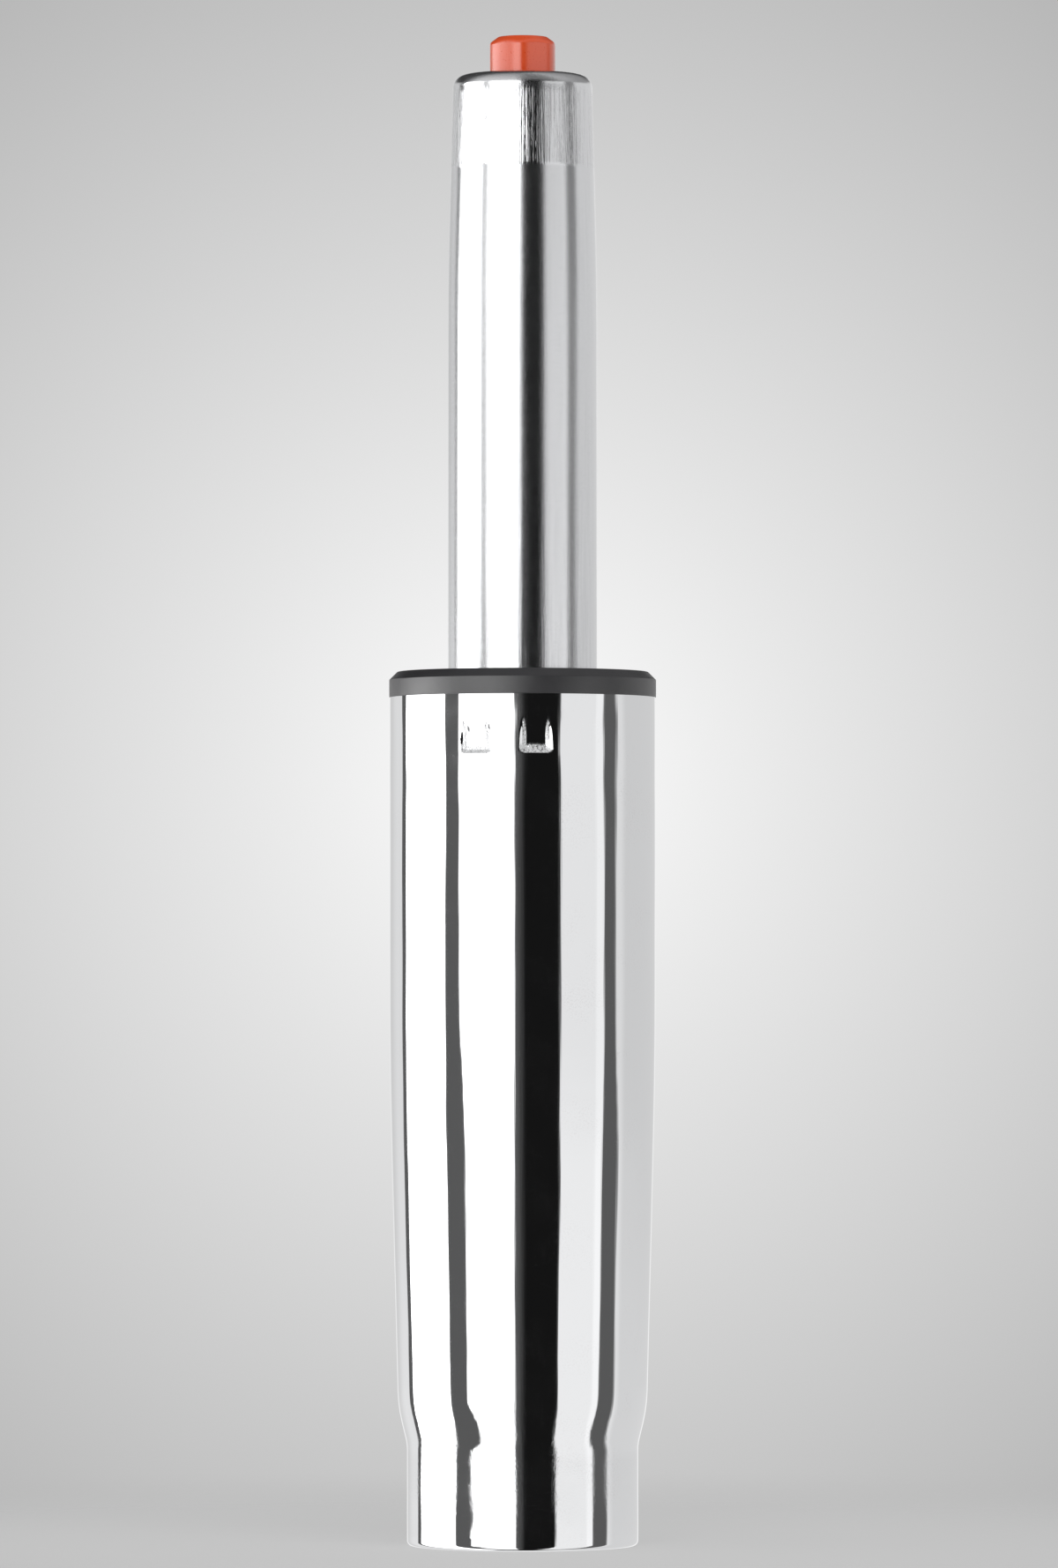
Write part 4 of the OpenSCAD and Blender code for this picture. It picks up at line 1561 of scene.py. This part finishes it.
    def _surroundings(self) -> None:
        """Paints the light round the piece and the pale wall behind it."""
        world = bpy.data.worlds.new("studio")
        bpy.context.scene.world = world
        world.use_nodes = True
        world.cycles.sampling_method = "NONE"
        nodes = Nodes(world.node_tree)
        way = nodes.get("ShaderNodeTexCoord", out="Generated")
        x, y, z = nodes.parts(way)
        bearing = nodes.math("ARCTAN2", x, y * -1.0) * degrees(1)
        height = nodes.math("ARCSINE", z) * degrees(1)
        below = nodes.smooth(height, self.reach_below - self.reach_fade, self.reach_below)
        steps = tuple(nodes.smooth(height, *limits) for limits in self.step_limits)
        edge = self.key_edge
        low = nodes.smooth(height, self.key_high + edge, self.key_high - edge) * below
        key_rise = nodes.smooth(height, self.key_low - edge, self.key_low + edge)
        key_fall = self.key_share_below + key_rise * (1 - self.key_share_below)
        glossy = nodes.get("ShaderNodeLightPath", out="Is Glossy Ray")
        key_level = key_fall * (self.key_matt + glossy * (1 - self.key_matt))
        reflector_level = self.reflector_matt + glossy * (1 - self.reflector_matt)
        reflector_rise = 1.0 + nodes.smooth(height, *self.reflector_low) * self.reflector_gain
        keys = self._panels(nodes, bearing, steps, self.keys) * key_level
        reflectors = self._panels(nodes, bearing, steps, self.reflectors) * reflector_level
        dark = nodes.window(bearing, *self.black_window)
        room = self.room + (self.room_black - self.room) * dark
        front = nodes.smooth(y * -1.0, *self.front_limits)
        spill_right = nodes.window(bearing, *self.spill_right) * self.spill_right_share
        over_keys = nodes.window(bearing, *self.spill_left) + spill_right
        falling = nodes.math("POWER", 0.5, (height - self.spill_base) / self.spill_half)
        ceiling = nodes.smooth(height, self.key_high, self.ceiling_full) * self.ceiling
        above = front * (falling * over_keys * self.spill + ceiling)
        behind = nodes.window(bearing, *self.back_window) * self.back_right + self.back_ceiling
        upper = nodes.smooth(height, self.key_high - edge, self.key_high + edge) * (above + behind)
        light = (keys + reflectors * reflector_rise + room) * low + upper
        lamps = nodes.get("ShaderNodeBackground", sockets={"Color": WHITE, "Strength": light})

        eye = Vector((self.aim_x, -self.distance, self.eye_z))
        centre = (Vector((self.glow_x, 0, self.glow_z)) - eye).normalized()
        facing = nodes.get(
            "ShaderNodeVectorMath", {"operation": "DOT_PRODUCT"}, {0: way, 1: centre}, out="Value"
        )
        spread = nodes.math("ARCCOSINE", nodes.math("MINIMUM", facing, 1.0))
        tone = nodes.math("MAXIMUM", self.glow_peak - spread * self.glow_fall, self.glow_least)
        wall = nodes.get("ShaderNodeBackground", sockets={"Color": WHITE, "Strength": linear(tone)})
        camera_ray = nodes.get("ShaderNodeLightPath", out="Is Camera Ray")
        both = nodes.get("ShaderNodeMixShader", sockets={0: camera_ray, 1: lamps, 2: wall})
        nodes.add("ShaderNodeOutputWorld", sockets={"Surface": both})

    @staticmethod
    def _panels(nodes: Nodes, bearing: Value, steps: tuple[Value, ...], panels: Iterable[Panel]) -> Value:
        """Adds up upright panels.

        Args:
            nodes: The tree.
            bearing: Angle round the piece, in degrees.
            steps: Shares from 0 to 1 of the steps of the edges and strengths.
            panels: The panels.

        Returns:
            The light of all of them.
        """
        total: Number = 0.0
        for panel in panels:
            left = moved(panel.left, steps, panel.left_moves)
            right = moved(panel.right, steps, panel.right_moves)
            shape = nodes.window(bearing, left, right, panel.left_edge, panel.right_edge)
            total = shape * moved(panel.strength, steps, panel.gains) + total
        return total

    def _overhead(self) -> None:
        """Hangs a large soft light above the camera, which polished faces don't mirror."""
        data = bpy.data.lights.new("overhead", "AREA")
        data.shape = "DISK"
        data.size = self.lamp_size * MM
        data.energy = self.lamp_power
        lamp = bpy.data.objects.new("overhead", data)
        lamp.location = Vector(self.lamp_place) * MM
        lamp.rotation_mode = "QUATERNION"
        aim = Vector(self.lamp_aim) * MM
        lamp.rotation_quaternion = (aim - lamp.location).to_track_quat("-Z", "Y")
        lamp.visible_glossy = False
        bpy.context.scene.collection.objects.link(lamp)

    def _floor(self) -> None:
        """Lays the pale floor, which fades into the wall's tone further out. For the camera it mostly glows
        with a painted pool of light, brightest at the middle and dimmer outwards, which also weakens the
        floor's real shadow.
        """
        rows = turned_rows([(ring, 0.0) for ring in self.floor_rings], even_turns(self.floor_columns))
        mesh = ring_mesh("floor", rows, closed=False)
        floor = bpy.data.objects.new("floor", mesh)
        bpy.context.scene.collection.objects.link(floor)
        material = bpy.data.materials.new("pale_floor")
        material.use_nodes = True
        nodes = SurfaceNodes(material.node_tree)
        paint = nodes.mix(nodes.marks(self.floor_speckle), self.floor_dark, self.floor_pale)
        matt = nodes.get("ShaderNodeBsdfDiffuse", sockets={"Color": paint})
        reach = nodes.length(nodes.x, nodes.y)
        # Painted pool of light: the floor's glow for the camera is brightest at the middle and dimmer
        # outwards.
        tone = nodes.math("MAXIMUM", self.floor_painted_glow_middle - reach * reach * self.floor_painted_glow_falloff, self.glow_least)
        glow = nodes.get("ShaderNodeEmission", sockets={"Color": WHITE, "Strength": linear(tone)})
        camera_ray = nodes.get("ShaderNodeLightPath", out="Is Camera Ray")
        lit = nodes.get("ShaderNodeMixShader", sockets={0: camera_ray * self.floor_glow, 1: matt, 2: glow})
        clear = nodes.get("ShaderNodeBsdfTransparent")
        fade = nodes.smooth(reach, *self.floor_fade)
        both = nodes.get("ShaderNodeMixShader", sockets={0: fade, 1: lit, 2: clear})
        nodes.add("ShaderNodeOutputMaterial", sockets={"Surface": both})
        mesh.materials.append(material)
        floor.visible_glossy = False

    def build(self) -> None:
        """Sets up the studio."""
        scene = bpy.context.scene
        scene.view_settings.view_transform = "Standard"
        self._camera()
        self._surroundings()
        self._overhead()
        self._floor()
        LOG.info("studio: camera, surroundings, overhead light and floor")


def linear(tone: Value) -> Value:
    """Turns a tone as it is seen on a screen into an amount of light.

    Args:
        tone: Tone from 0 to 1.

    Returns:
        Amount of light from 0 to 1.
    """
    return ((tone + 0.055) / 1.055) ** 2.4


def main() -> None:
    """Builds the lift piece by piece and the studio round it."""
    logging.basicConfig(level=logging.INFO, format="%(message)s")
    for finish in FINISHES:
        MATERIALS[finish.slot] = finish.build()
    Studio().build()
    for assembly in (
        BaseTube(), GuideBush(), GasColumn(), ReleaseButton(), SwivelBearing(), FootSet(), PistonSet()
    ):
        LOG.info("%s", type(assembly).__name__)
        assembly.build()


if __name__ == "__main__":
    main()
